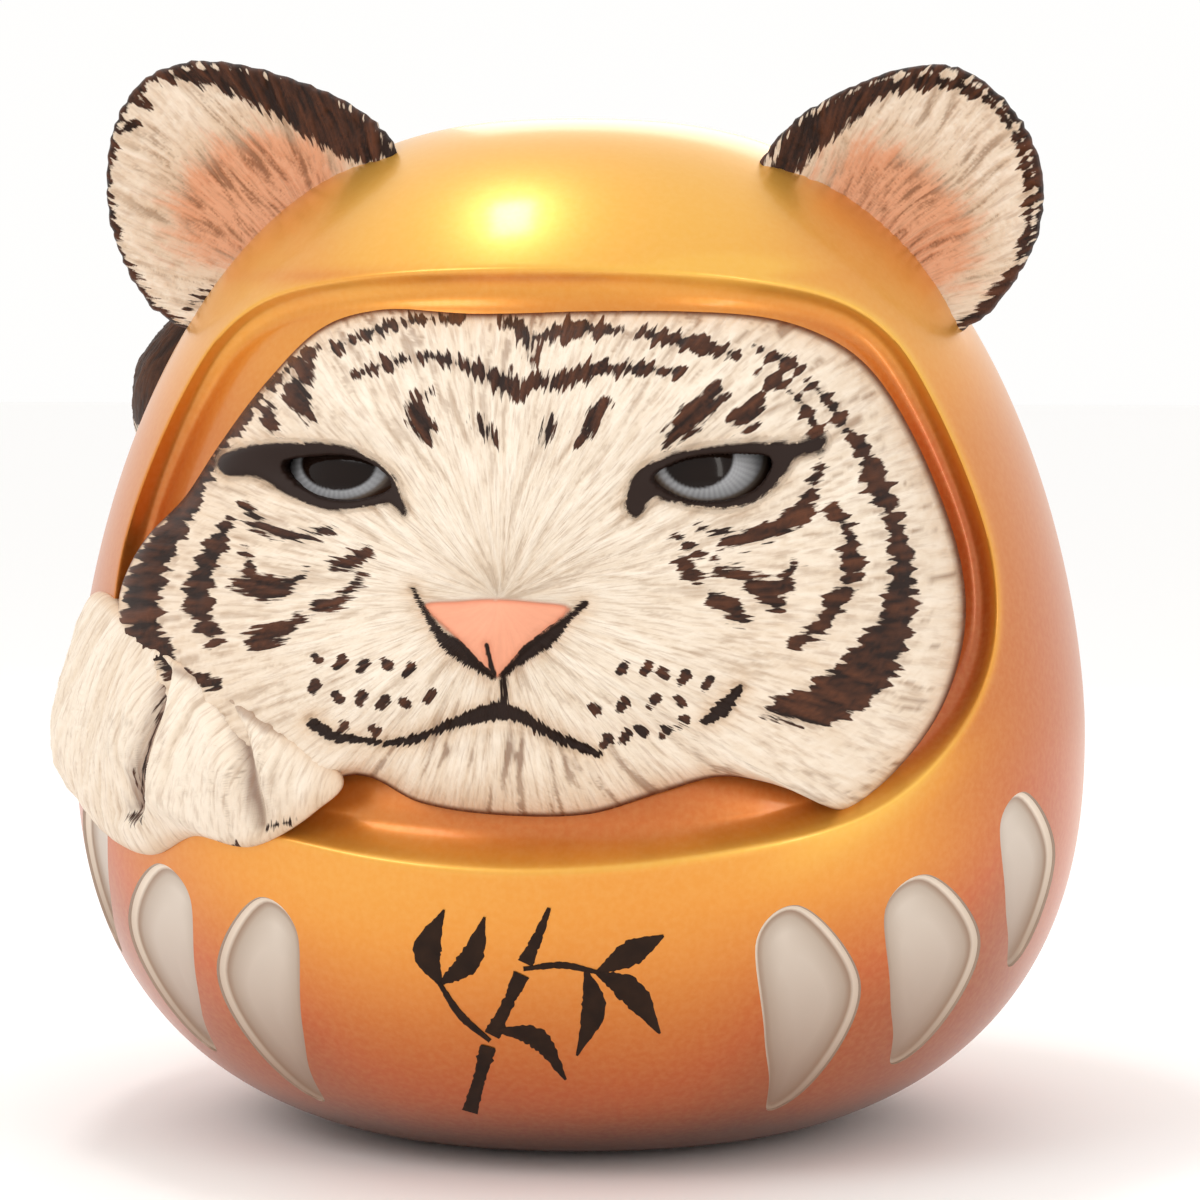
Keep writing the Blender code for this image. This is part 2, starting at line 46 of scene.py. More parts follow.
# ---- camera and the plane of the paint
AZIMUTH = math.radians(6.3)
ELEVATION = math.radians(4.0)
DISTANCE = 480.0
LENS = 133.0
AIM_SIDE, AIM_UP = 2.1, 55.95
TO_CAMERA = np.array([math.sin(AZIMUTH) * math.cos(ELEVATION), -math.cos(AZIMUTH) * math.cos(ELEVATION),
                      math.sin(ELEVATION)])
RIGHT = np.array([math.cos(AZIMUTH), math.sin(AZIMUTH), 0.0])
UP = np.cross(TO_CAMERA, RIGHT)
AIM = np.array([0.0, 0.0, AIM_UP]) + RIGHT * AIM_SIDE
VIEWPOINT = AIM + TO_CAMERA * DISTANCE


def picture(points):
    """Where points fall, seen from the camera, on the upright plane through the axis: (across, up)."""
    rel = np.asarray(points, float) - VIEWPOINT
    scale = DISTANCE / -(rel @ TO_CAMERA)
    return np.stack([(rel @ RIGHT) * scale + AIM_SIDE, (rel @ UP) * scale + AIM_UP], axis=-1)


# ---- body shape, as in the CAD
BELLY_Z = 42.0
BELLY_R = 54.4
CROWN = 65.7
CROWN_SHAPE = (1.7, 2.7)
KEEL = 44.0
KEEL_SHAPE = (2.4, 2.8)
RIM_Z = 0.3
BORE_R = 23.2
LIP_Z = 4.9
# The window's crest on the doll's left, (x, z) from the top down; the other half is its mirror image.
WINDOW_CREST = [(0, 91.5), (20, 90.5), (32, 87), (39, 78), (45, 62), (44, 49), (35, 39), (19, 35), (0, 33.5)]
WINDOW_MIDDLE = np.array([0.0, 62.5])
# How far inside the crest the opening lies, at the sides and at the top and bottom, and how deep.
OPENING_INSET = (3.4, 4.3)
WINDOW_DEPTH = 3.2
# A hollow's outline in shares of its width and half height.
PETAL = [(-0.2, 1.0), (-0.5, 0.7), (-0.3, -0.15), (-0.1, -0.6), (0.15, -1.0), (0.4, -0.8), (0.5, 0.0),
         (0.3, 0.5)]
# (angle from the front, height, width in degrees, half height)
PETAL_PLACES = [(33, 18, 15, 11.5), (50, 21, 18, 10.5), (66, 29, 16, 9.5)]
# Steps of every search by halving.
HALVINGS = 44


def circle(count):
    """Angles once round, evenly spaced."""
    return np.linspace(0, 2 * math.pi, count, endpoint=False)


def egg_radius(z):
    rise = np.asarray(z, float) - BELLY_Z
    above = rise > 0
    reach = np.clip(np.where(above, rise / CROWN, -rise / KEEL), 0.0, 1.0)
    power_up = np.where(above, CROWN_SHAPE[0], KEEL_SHAPE[0])
    power_across = np.where(above, CROWN_SHAPE[1], KEEL_SHAPE[1])
    return BELLY_R * np.maximum(1 - reach ** power_up, 0.0) ** (1 / power_across)


def on_front(x, z, out=0.0):
    """Points of the front of the body at (x, z), moved out along the radius."""
    r = egg_radius(z) + out
    y = -np.sqrt(np.maximum(r * r - x * x, 1.0))
    return np.stack(np.broadcast_arrays(x, y, z), axis=-1)


def wrapped(angle, z, out=0.0):
    """Points at an angle from the front in degrees, a height and a distance out of the body."""
    r = egg_radius(z) + out
    a = np.radians(angle)
    return np.stack(np.broadcast_arrays(r * np.sin(a), -r * np.cos(a), z), axis=-1)


def under_picture(marks, out=0.0):
    """Points of the body's front that appear at the given (across, up) marks."""
    marks = np.asarray(marks, float)
    target = AIM + np.outer(marks[:, 0] - AIM_SIDE, RIGHT) + np.outer(marks[:, 1] - AIM_UP, UP)
    ray = target - VIEWPOINT
    near, far = np.full(len(marks), 0.8), np.full(len(marks), 1.0)
    for _ in range(HALVINGS):
        middle = (near + far) / 2
        p = VIEWPOINT + ray * middle[:, None]
        outside = np.hypot(p[:, 0], p[:, 1]) > egg_radius(p[:, 2]) + out
        near, far = np.where(outside, middle, near), np.where(outside, far, middle)
    return VIEWPOINT + ray * far[:, None]


def smooth_path(points, closed=False, steps=8):
    """A Catmull-Rom curve through a few points; any further columns, such as widths, are carried along."""
    c = np.asarray(points, float)
    if closed:
        c = np.vstack([c[-1:], c, c[:2]])
    else:
        c = np.vstack([2 * c[:1] - c[1:2], c, 2 * c[-1:] - c[-2:-1]])
    t = np.linspace(0, 1, steps, endpoint=False)[:, None]
    out = []
    for p0, p1, p2, p3 in zip(c[:-3], c[1:-2], c[2:-1], c[3:]):
        out.append(0.5 * (2 * p1 + (p2 - p0) * t + (2 * p0 - 5 * p1 + 4 * p2 - p3) * t ** 2
                          + (3 * p1 - p0 - 3 * p2 + p3) * t ** 3))
    if not closed:
        out.append(c[-2:-1])
    return np.vstack(out)


def even_loop(points, count):
    fine = smooth_path(points, closed=True, steps=16)
    loop = np.vstack([fine, fine[:1]])
    run = np.concatenate([[0.0], np.cumsum(np.linalg.norm(np.diff(loop, axis=0), axis=1))])
    at = np.linspace(0.0, run[-1], count, endpoint=False)
    return np.column_stack([np.interp(at, run, loop[:, k]) for k in range(loop.shape[1])])


def reach_about(loop, centre, angles):
    """Distance from a centre to an outline at each angle."""
    rel = loop - centre
    angle = np.arctan2(rel[:, 1], rel[:, 0])
    order = np.argsort(angle)
    return np.interp(angles, angle[order], np.hypot(rel[:, 0], rel[:, 1])[order], period=2 * math.pi)


# ---- paint: strokes, patches and combed fur
# Depth given to marks that are nowhere near a stroke, and how far round a stroke marks are measured.
FAR_OUTSIDE = -9.0
STROKE_MARGIN = 2.0


def stroke_depth(marks, stroke):
    """How far inside a brush stroke each mark lies; the stroke's points are (across, up, width)."""
    path = smooth_path(stroke, steps=6) if len(stroke) > 2 else np.asarray(stroke, float)
    best = np.full(len(marks), FAR_OUTSIDE)
    half = np.maximum(path[:, 2], 0.2) / 2
    low = path[:, :2].min(axis=0) - half.max() - STROKE_MARGIN
    high = path[:, :2].max(axis=0) + half.max() + STROKE_MARGIN
    near = np.flatnonzero(np.all((marks > low) & (marks < high), axis=1))
    m = marks[near]
    inside = np.full(len(near), FAR_OUTSIDE)
    for k in range(len(path) - 1):
        a, b = path[k, :2], path[k + 1, :2]
        length = max(float((b - a) @ (b - a)), 1e-6)
        t = np.clip(((m - a) @ (b - a)) / length, 0, 1)
        away = np.hypot(*(m - a - t[:, None] * (b - a)).T)
        inside = np.maximum(inside, half[k] + (half[k + 1] - half[k]) * t - away)
    best[near] = inside
    return best


def strokes_depth(marks, strokes):
    depth = np.full(len(marks), FAR_OUTSIDE)
    for stroke in strokes:
        depth = np.maximum(depth, stroke_depth(marks, stroke))
    return depth


def patch_depth(marks, outline, smooth=True):
    """How far inside a closed outline each mark lies, negative outside."""
    loop = smooth_path(outline, closed=True, steps=6) if smooth else np.asarray(outline, float)
    a, b = loop, np.roll(loop, -1, axis=0)
    away = np.full(len(marks), 1e9)
    odd = np.zeros(len(marks), bool)
    for (ax, ay), (bx, by) in zip(a, b):
        dx, dy = bx - ax, by - ay
        u, v = marks[:, 0] - ax, marks[:, 1] - ay
        t = np.clip((u * dx + v * dy) / max(dx * dx + dy * dy, 1e-9), 0, 1)
        away = np.minimum(away, np.hypot(u - t * dx, v - t * dy))
        if ay != by:
            crosses = (v < 0) != (marks[:, 1] < by)
            odd ^= crosses & (u < v * dx / dy)
    return np.where(odd, away, -away)


def patches_depth(marks, outlines):
    return np.maximum(*[patch_depth(marks, outline) for outline in outlines])


def blob(marks, across, up, wide, high, turn=0.0):
    """A soft round patch, 1 in the middle."""
    c, s = math.cos(math.radians(turn)), math.sin(math.radians(turn))
    dx, dy = marks[:, 0] - across, marks[:, 1] - up
    return np.exp(-((dx * c + dy * s) / wide) ** 2 - ((dy * c - dx * s) / high) ** 2)


def combed(flow_row, flow_col, length, seed, grain=1.0):
    """Random grain smeared along a flow over a grid, 0 to 1 with a mean of about a half."""
    rows, cols = flow_row.shape
    noise = np.random.default_rng(seed).random((rows, cols))
    if grain > 1.0:
        small = np.random.default_rng(seed).random((int(rows / grain) + 2, int(cols / grain) + 2))
        r = np.arange(rows)[:, None] / grain
        c = np.arange(cols)[None, :] / grain
        r0, c0 = r.astype(int), c.astype(int)
        fr, fc = r - r0, c - c0
        noise = ((small[r0, c0] * (1 - fr) + small[r0 + 1, c0] * fr) * (1 - fc)
                 + (small[r0, c0 + 1] * (1 - fr) + small[r0 + 1, c0 + 1] * fr) * fc)
    total = noise.copy()
    start_r, start_c = np.indices((rows, cols), dtype=float)
    for sign in (1, -1):
        r, c = start_r.copy(), start_c.copy()
        for _ in range(length):
            ri = np.clip(np.rint(r).astype(int), 0, rows - 1)
            ci = np.rint(c).astype(int) % cols
            r += sign * flow_row[ri, ci]
            c += sign * flow_col[ri, ci]
            total += noise[np.clip(np.rint(r).astype(int), 0, rows - 1), np.rint(c).astype(int) % cols]
    total -= total.mean()
    return np.clip(0.5 + total / (4.0 * total.std()), 0, 1)


def soft_step(value, low, high):
    t = np.clip((value - low) / (high - low), 0, 1)
    return t * t * (3 - 2 * t)


def linear(r, g, b):
    """A colour given as it looks on a screen, 0 to 255, in linear light."""
    c = np.array([r, g, b]) / 255.0
    return np.where(c <= 0.04045, c / 12.92, ((c + 0.055) / 1.055) ** 2.4)


def layered(paint, *coats):
    """Paint with coats laid over it one by one, each (colour, how much of it at every mark)."""
    for colour, amount in coats:
        amount = np.clip(amount, 0, 1)[:, None]
        paint = paint * (1 - amount) + colour * amount
    return paint


# ---- meshes
# Hairs are drawn true to size on a circle this wide, and this much longer than they are thick.
HAIR_CIRCLE = 24.0
HAIR_STRETCH = 0.13


def add_piece(name, verts, faces, materials):
    mesh = bpy.data.meshes.new(name)
    mesh.from_pydata((np.asarray(verts) * MM).tolist(), [], faces)
    mesh.update()
    for material in materials:
        mesh.materials.append(material)
    obj = bpy.data.objects.new(name, mesh)
    bpy.context.scene.collection.objects.link(obj)
    mesh.shade_smooth()
    return obj


def grid_faces(rows, cols, start, end):
    """Faces over a stack of rings, closed by a fan round the start point and one round the end point."""
    k, i = np.meshgrid(np.arange(rows - 1), np.arange(cols), indexing="ij")
    j = (i + 1) % cols
    quads = np.stack([k * cols + i, k * cols + j, (k + 1) * cols + j, (k + 1) * cols + i], axis=-1)
    faces = quads.reshape(-1, 4).tolist()
    last = (rows - 1) * cols
    faces += [(start, (n + 1) % cols, n) for n in range(cols)]
    faces += [(end, last + n, last + (n + 1) % cols) for n in range(cols)]
    return faces


def ring_piece(name, rings, materials):
    """A closed skin over rings, each end closed at its own middle."""
    rings = np.asarray(rings)
    rows, cols = rings.shape[:2]
    verts = np.vstack([rings.reshape(-1, 3), rings[0].mean(axis=0)[None], rings[-1].mean(axis=0)[None]])
    obj = add_piece(name, verts, grid_faces(rows, cols, rows * cols, rows * cols + 1), materials)
    face_outward(obj)
    return obj


def face_outward(obj):
    bm = bmesh.new()
    bm.from_mesh(obj.data)
    bmesh.ops.recalc_face_normals(bm, faces=bm.faces[:])
    bm.to_mesh(obj.data)
    bm.free()


def set_attribute(obj, name, values, kind="FLOAT", field="value"):
    """Store a number, or a colour or vector, for each point of a piece."""
    layer = obj.data.attributes.new(name, kind, "POINT")
    layer.data.foreach_set(field, np.asarray(values, float).ravel())


def set_colour(obj, colours):
    solid = np.ones((len(colours), 1))
    set_attribute(obj, "paint", np.hstack([np.clip(colours, 0, 1), solid]), "FLOAT_COLOR", "color")


def set_fur(obj, shape, paint, ink, streak, comb, back=0):
    """The attributes that fur_material reads, for a ring piece whose first rings are a grid of this shape.

    The rings that close its back take the values of the grid's last ring.
    """
    def spread(values):
        grid = np.asarray(values).reshape(shape + (-1,))
        return with_ends(np.concatenate([grid, np.repeat(grid[-1:], back, axis=0)]))

    set_colour(obj, spread(paint))
    set_attribute(obj, "ink", spread(np.clip(ink, -2, 2)))
    set_attribute(obj, "streak", spread(streak))
    set_attribute(obj, "comb", spread(comb), "FLOAT_VECTOR", "vector")


def comb_around(marks, centre):
    """Coordinates for hairs that run out from a centre: round a circle, then slowly along the hair."""
    rel = marks - np.asarray(centre)
    away = np.maximum(np.hypot(rel[:, 0], rel[:, 1]), 0.5)
    return np.column_stack([rel * (HAIR_CIRCLE / away)[:, None], HAIR_STRETCH * away])


def comb_along(marks, way):
    """Coordinates for hairs that all run one way."""
    c, s = math.cos(way), math.sin(way)
    return np.column_stack([marks @ [-s, c], HAIR_STRETCH * (marks @ [c, s]), np.zeros(len(marks))])


def with_ends(values):
    """Values of a ring piece's grid followed by those of its two end points."""
    grid = np.asarray(values)
    return np.concatenate([grid.reshape((-1,) + grid.shape[2:]), grid[0].mean(axis=0)[None],
                           grid[-1].mean(axis=0)[None]])


# ---- materials
class Shade:
    """A material with short ways to add nodes; each gives the output of the node that it adds."""

    def __init__(self, name):
        self.material = bpy.data.materials.new(name)
        self.material.use_nodes = True
        self.nodes = self.material.node_tree.nodes
        self.link = self.material.node_tree.links.new
        self.surface = self.nodes["Principled BSDF"].inputs

    def feed(self, inputs, values):
        """Set inputs to a number or colour, or link them to another node's output."""
        for name, value in values.items():
            if isinstance(value, bpy.types.NodeSocket):
                self.link(value, inputs[name])
            else:
                inputs[name].default_value = value

    def add(self, kind, output, values, **settings):
        node = self.nodes.new("ShaderNode" + kind)
        for name, setting in settings.items():
            setattr(node, name, setting)
        self.feed(node.inputs, values)
        return node.outputs[output]

    def attribute(self, name, output="Fac"):
        return self.add("Attribute", output, {}, attribute_name=name)

    def noise(self, place, scale, detail):
        return self.add("TexNoise", "Fac", {"Vector": place, "Scale": scale, "Detail": detail})

    def bump(self, height, strength, distance):
        values = {"Height": height, "Strength": strength, "Distance": distance}
        self.feed(self.surface, {"Normal": self.add("Bump", "Normal", values)})

    def grain(self, scale, strength, distance, stretch=(1, 1, 1)):
        """A fine noise bump; its noise can colour the surface too."""
        place = self.add("TexCoord", "Object", {})
        noise = self.noise(self.add("Mapping", "Vector", {"Vector": place, "Scale": stretch}), scale, 4.0)
        self.bump(noise, strength, distance)
        return noise

    def rise(self, source, low, high, top=1.0):
        """Zero where the source is at low, rising to top where it is at high, and held beyond them."""
        values = {"Value": source, "From Min": low, "From Max": high, "To Max": top}
        return self.add("MapRange", "Result", values)

    def mix(self, factor, first, second):
        """From the first colour to the second; a colour is an output or screen values, 0 to 255."""
        first, second = [value if isinstance(value, bpy.types.NodeSocket) else (*linear(*value), 1.0)
                         for value in (first, second)]
        return self.add("Mix", 2, {"Factor": factor, 6: first, 7: second}, data_type="RGBA")

    def ramp(self, source, *stops):
        """A colour ramp; stops are (position, screen colour)."""
        ramp = self.nodes.new("ShaderNodeValToRGB")
        elements = ramp.color_ramp.elements
        while len(elements) < len(stops):
            elements.new(0.5)
        for element, (position, colour) in zip(elements, stops):
            element.position = position
            element.color = (*linear(*colour), 1.0)
        self.link(source, ramp.inputs["Fac"])
        return ramp.outputs["Color"]

    def finish(self, colour, **values):
        """Colour the surface, set the shader's own inputs and give the material."""
        self.feed(self.surface, {"Base Color": colour})
        self.feed(self.surface, {name.replace("_", " "): value for name, value in values.items()})
        return self.material


def gold_material():
    """Gold lacquer with painted light and shade from the tone attribute, darker and redder to the foot and
    flanks, with a faint metallic grain.
    """
    gold = Shade("gold_lacquer")
    shaded_gold = gold.ramp(gold.attribute("tone"), (0.0, (112, 50, 20)), (0.3, (190, 92, 34)),
                      (0.6, (222, 143, 48)), (1.0, (236, 178, 72)))
    speckle = gold.rise(gold.grain(1500.0, 0.03, 0.0002), 0.35, 0.7, 0.06)
    return gold.finish(gold.mix(speckle, shaded_gold, (255, 224, 150)), Metallic=0.62, Roughness=0.37,
                       Coat_Weight=0.4, Coat_Roughness=0.15)


def silver_material():
    """Satin silver-beige hollows: a painted highlight along the lip, a painted shadow line inside it and a
    floor that dims to the tip.
    """
    silver = Shade("petal_silver")
    floor = silver.ramp(silver.attribute("lip"), (0.0, (238, 224, 206)), (0.12, (236, 222, 204)),
                        (0.22, (158, 132, 112)), (0.42, (184, 168, 152)), (1.0, (208, 195, 181)))
    silver.grain(500.0, 0.04, 0.0001, (3, 3, 0.6))
    return silver.finish(silver.mix(silver.attribute("tone"), (150, 122, 102), floor), Metallic=0.3,
                         Roughness=0.36)


def fur_material(name, ink=(36, 19, 11), worn=(96, 54, 32)):
    """Painted, combed resin fur: its own paint with ink strokes over it, whose edges follow the hairs."""
    fur = Shade(name)
    hairs = fur.noise(fur.attribute("comb", "Vector"), 2.6, 3.0)
    # The hairs fray the edge of the ink.
    frayed = fur.add("Math", "Value", {0: hairs, 1: 3.4, 2: fur.attribute("ink")}, operation="MULTIPLY_ADD")
    ink_colour = fur.ramp(fur.attribute("streak"), (0.35, ink), (0.95, worn))
    furred = fur.mix(fur.rise(hairs, 0.5, 0.3, 0.36), fur.attribute("paint", "Color"), (150, 112, 82))
    fur.bump(hairs, 0.55, 0.0004)
    return fur.finish(fur.mix(fur.rise(frayed, 1.55, 1.85), furred, ink_colour), Roughness=0.55,
                      Specular_IOR_Level=0.22)


def eye_material():
    """Glossy enamel over the painted eye, a little uneven."""
    enamel = Shade("eye_enamel")
    dim = enamel.rise(enamel.grain(600.0, 0.02, 0.0001), 0.0, 1.0, 0.12)
    return enamel.finish(enamel.mix(dim, enamel.attribute("paint", "Color"), (40, 26, 18)), Roughness=0.12,
                         Specular_IOR_Level=0.1, Coat_Weight=0.12, Coat_Roughness=0.03)


def plain_material(name, dark, pale, metallic, roughness, scale, **more):
    """A bare material that wavers between two shades."""
    plain = Shade(name)
    colour = plain.ramp(plain.grain(scale, 0.1, 0.0002), (0.3, dark), (0.7, pale))
    return plain.finish(colour, Metallic=metallic, Roughness=roughness, **more)


IVORY = linear(238, 224, 206)
IVORY_SHADE = linear(208, 184, 156)
TAN = linear(203, 164, 124)
PINK = linear(231, 158, 126)
BROWN = linear(104, 60, 36)

# ---- gold body
BODY_COLUMNS = 420
BEVEL_ROWS = 16
SKIN_ROWS = 105
# The skin is stretched round the body from this point.
HEART = np.array([0.0, 0.0, 52.0])
# How sharply the foot's flat turns into the egg: more is sharper.
FOOT_TURN = 2.0
# The opening's floor: (share of the opening, how far out of the body).
WINDOW_FLOOR = ((0.4, -13.0), (0.6, -9.0), (0.72, -6.0), (0.82, -4.6), (0.9, -3.9), (0.96, -3.5))
# A petal's hollow: (share of the outline, how far out of the body).
PETAL_RINGS = ((0.6, 4.0), (1.03, 1.2), (1.0, 0.05), (0.985, -0.35), (0.95, -0.7), (0.88, -0.95),
               (0.75, -1.12), (0.5, -1.25), (0.2, -1.3))
# Painted highlights and painted shade over the front, (how much lighter, then a blob): three on the belly and
# the sill, two on the dome's shoulders, and a dark and a bright line over the window's top edge.
GLEAMS = [
    (0.1, -24, 26, 22, 9), (0.14, 27, 30, 14, 7), (0.34, 32, 33.5, 9, 2.2, 32), (-0.26, 30, 97, 8, 9),
    (-0.2, -30, 96, 5, 9), (-0.4, -8, 91, 24, 0.9), (0.35, 16, 91.8, 7, 1.2),
]


def window_outline(inset, columns):
    at = np.linspace(-math.pi, math.pi, columns, endpoint=False)
    mirrored = WINDOW_CREST + [(-x, z) for x, z in reversed(WINDOW_CREST[1:-1])]
    r = reach_about(even_loop(mirrored, 1600), WINDOW_MIDDLE, at)
    r = r - inset * (OPENING_INSET[0] * np.cos(at) ** 2 + OPENING_INSET[1] * np.sin(at) ** 2)
    return WINDOW_MIDDLE + np.column_stack([r * np.cos(at), r * np.sin(at)])


def along_ray(direction):
    """Where rays from the body's heart meet the egg, with the foot's flat rounded into it."""
    near, far = np.zeros(len(direction)), np.full(len(direction), 80.0)
    for _ in range(HALVINGS):
        middle = (near + far) / 2
        p = HEART + direction * middle[:, None]
        inside = (np.hypot(p[:, 0], p[:, 1]) < egg_radius(p[:, 2])) & (p[:, 2] < BELLY_Z + CROWN)
        near, far = np.where(inside, middle, near), np.where(inside, far, middle)
    fall = np.minimum(direction[:, 2], -0.05)
    down = np.where(direction[:, 2] < -0.05, (RIM_Z - HEART[2]) / fall, 400.0)
    least = np.minimum(near, down)
    crowding = np.exp(-FOOT_TURN * (near - least)) + np.exp(-FOOT_TURN * np.minimum(down - least, 40.0))
    return HEART + direction * (least - np.log(crowding) / FOOT_TURN)[:, None]


def petal_cutter(place, side, materials):
    angle, z, width, half_height = place
    loop = even_loop([(angle + width * a, z + half_height * b) for a, b in PETAL], 96)
    middle = loop.mean(axis=0)
    rings = []
    for scale, out in PETAL_RINGS:
        p = middle + (loop - middle) * scale
        rings.append(wrapped(side * p[:, 0], p[:, 1], out))
    cutter = ring_piece("petal_tool", rings, materials)
    cutter.data.polygons.foreach_set("material_index", [1] * len(cutter.data.polygons))
    return cutter


def cut(obj, tool):
    mod = obj.modifiers.new("cut", "BOOLEAN")
    mod.operation = "DIFFERENCE"
    mod.solver = "EXACT"
    mod.object = tool
    graph = bpy.context.evaluated_depsgraph_get()
    graph.update()
    mesh = bpy.data.meshes.new_from_object(obj.evaluated_get(graph))
    old = obj.data
    obj.modifiers.clear()
    obj.data = mesh
    bpy.data.meshes.remove(old)
    bpy.data.objects.remove(tool)


def build_body(gold, silver):
    crest = window_outline(0.0, BODY_COLUMNS)
    opening = window_outline(1.0, BODY_COLUMNS)
    rings = []
    for share, out in WINDOW_FLOOR:
        p = WINDOW_MIDDLE + (opening - WINDOW_MIDDLE) * share
        rings.append(on_front(p[:, 0], p[:, 1], out))
    for s in np.linspace(1.0, 0.0, BEVEL_ROWS, endpoint=False):
        p = crest + (opening - crest) * s
        rings.append(on_front(p[:, 0], p[:, 1], -WINDOW_DEPTH * math.sin(s * math.pi / 2) ** 0.9))
    at_crest = len(rings)
    # From the crest the rings run round the body and close at the middle of its back.
    start = on_front(crest[:, 0], crest[:, 1]) - HEART
    start /= np.linalg.norm(start, axis=1)[:, None]
    pole = np.array([0.0, 1.0, 0.0])
    turn = np.arccos(np.clip(start @ pole, -1, 1))[:, None]
    for s in np.linspace(0, 1, SKIN_ROWS, endpoint=False) ** 1.45:
        direction = (np.sin((1 - s) * turn) * start + np.sin(s * turn) * pole) / np.sin(turn)
        rings.append(along_ray(direction))
    rings = np.array(rings)
    # The crest is rounded a little.
    for _ in range(3):
        near = slice(at_crest - 3, at_crest + 4)
        before, after = slice(at_crest - 4, at_crest + 3), slice(at_crest - 2, at_crest + 5)
        rings[near] = 0.25 * rings[before] + 0.5 * rings[near] + 0.25 * rings[after]
    body = ring_piece("daruma_body", rings, (gold, silver))
    for place in PETAL_PLACES:
        for side in (1, -1):
            cut(body, petal_cutter(place, side, (gold, silver)))
    turns = circle(128)
    disc = np.column_stack([BORE_R * np.cos(turns), BORE_R * np.sin(turns), np.zeros(128)])
    cut(body, ring_piece("bore_tool", [disc + [0, 0, -2.0], disc + [0, 0, LIP_Z]], (gold, silver)))
    body.data.shade_smooth()
    body.data.set_sharp_from_angle(angle=math.radians(38))
    return body


def paint_light_on_body(body):
    """Painted light and shade on the lacquer: lighter on the dome, warmer and darker at the flanks and in the
    recess, brown at the foot and near the petals, with painted highlights and shade on the front and a
    painted highlight along the crest.
    """
    co = np.empty(len(body.data.vertices) * 3)
    body.data.vertices.foreach_get("co", co)
    p = co.reshape(-1, 3) / MM
    x, y, z = p.T
    marks = picture(p)
    deep = egg_radius(z) - np.hypot(x, y)
    around = np.degrees(np.arctan2(np.abs(x), -y))
    # Painted light and shade: lighter up the dome, darker low down and at the flanks.
    tone = 0.24 + 0.36 * soft_step(z, 1, 34) + 0.34 * soft_step(z, 72, 98)
    flank = soft_step(np.abs(x), 26, 56) * soft_step(z, 108, 50)
    tone -= 0.27 * flank * (0.55 + 0.45 * soft_step(-y, -20, 20))
    # Painted highlights and painted shade on the front.
    for amount, *place in GLEAMS:
        tone += amount * blob(marks, *place) * (y < 0)
    # Painted shade in the window's recess, lighter toward the doll's right.
    tone -= (0.27 - 0.14 * soft_step(-x, 5, 25)) * soft_step(deep, 0.6, 3.4) * (z > 30) * (y < 0)
    # Painted shade at the foot.
    tone -= 0.3 * soft_step(z, 9, 0)
    # A painted highlight runs along the rim's crest.
    close = np.flatnonzero((y < -10) & (deep < 1.2) & (z > 28) & (z < 97))
    away = patch_depth(p[close][:, [0, 2]], window_outline(0.0, 160), smooth=False)
    tone[close] += 0.32 * np.exp(-(away / 0.5) ** 2) * soft_step(x[close], -60, 30)
    # Painted shade round each petal's hollow.
    for angle, middle_z, width, half in PETAL_PLACES:
        spread = ((around - angle) / (0.72 * width)) ** 2 + ((z - middle_z) / (1.15 * half)) ** 2
        tone -= 0.14 * np.exp(-spread)
    # Inside the petals the lip, which carries the painted highlight and shadow line, is measured from the
    # outline, and the tone runs from the tip to the head.
    lip = np.ones(len(p))
    for angle, middle_z, width, half in PETAL_PLACES:
        near = np.flatnonzero((np.abs(around - angle) < width) & (np.abs(z - middle_z) < 1.3 * half)
                              & (deep > 0.02))
        flat = np.column_stack([np.radians(around[near] - angle) * egg_radius(z[near]), z[near] - middle_z])
        shape = [(math.radians(width * a) * float(egg_radius(middle_z + half * b)), half * b)
                 for a, b in PETAL]
        inside = patch_depth(flat, shape)
        floor_tone = np.clip(0.62 + 0.5 * (z[near] - middle_z) / half, 0.2, 1.0)
        lip[near] = np.where(inside > -0.3, np.clip(inside / 3.0, 0, 1), lip[near])
        tone[near] = np.where(inside > -0.3, floor_tone, tone[near])
    set_attribute(body, "lip", lip)
    set_attribute(body, "tone", np.clip(tone, 0.02, 1.0))


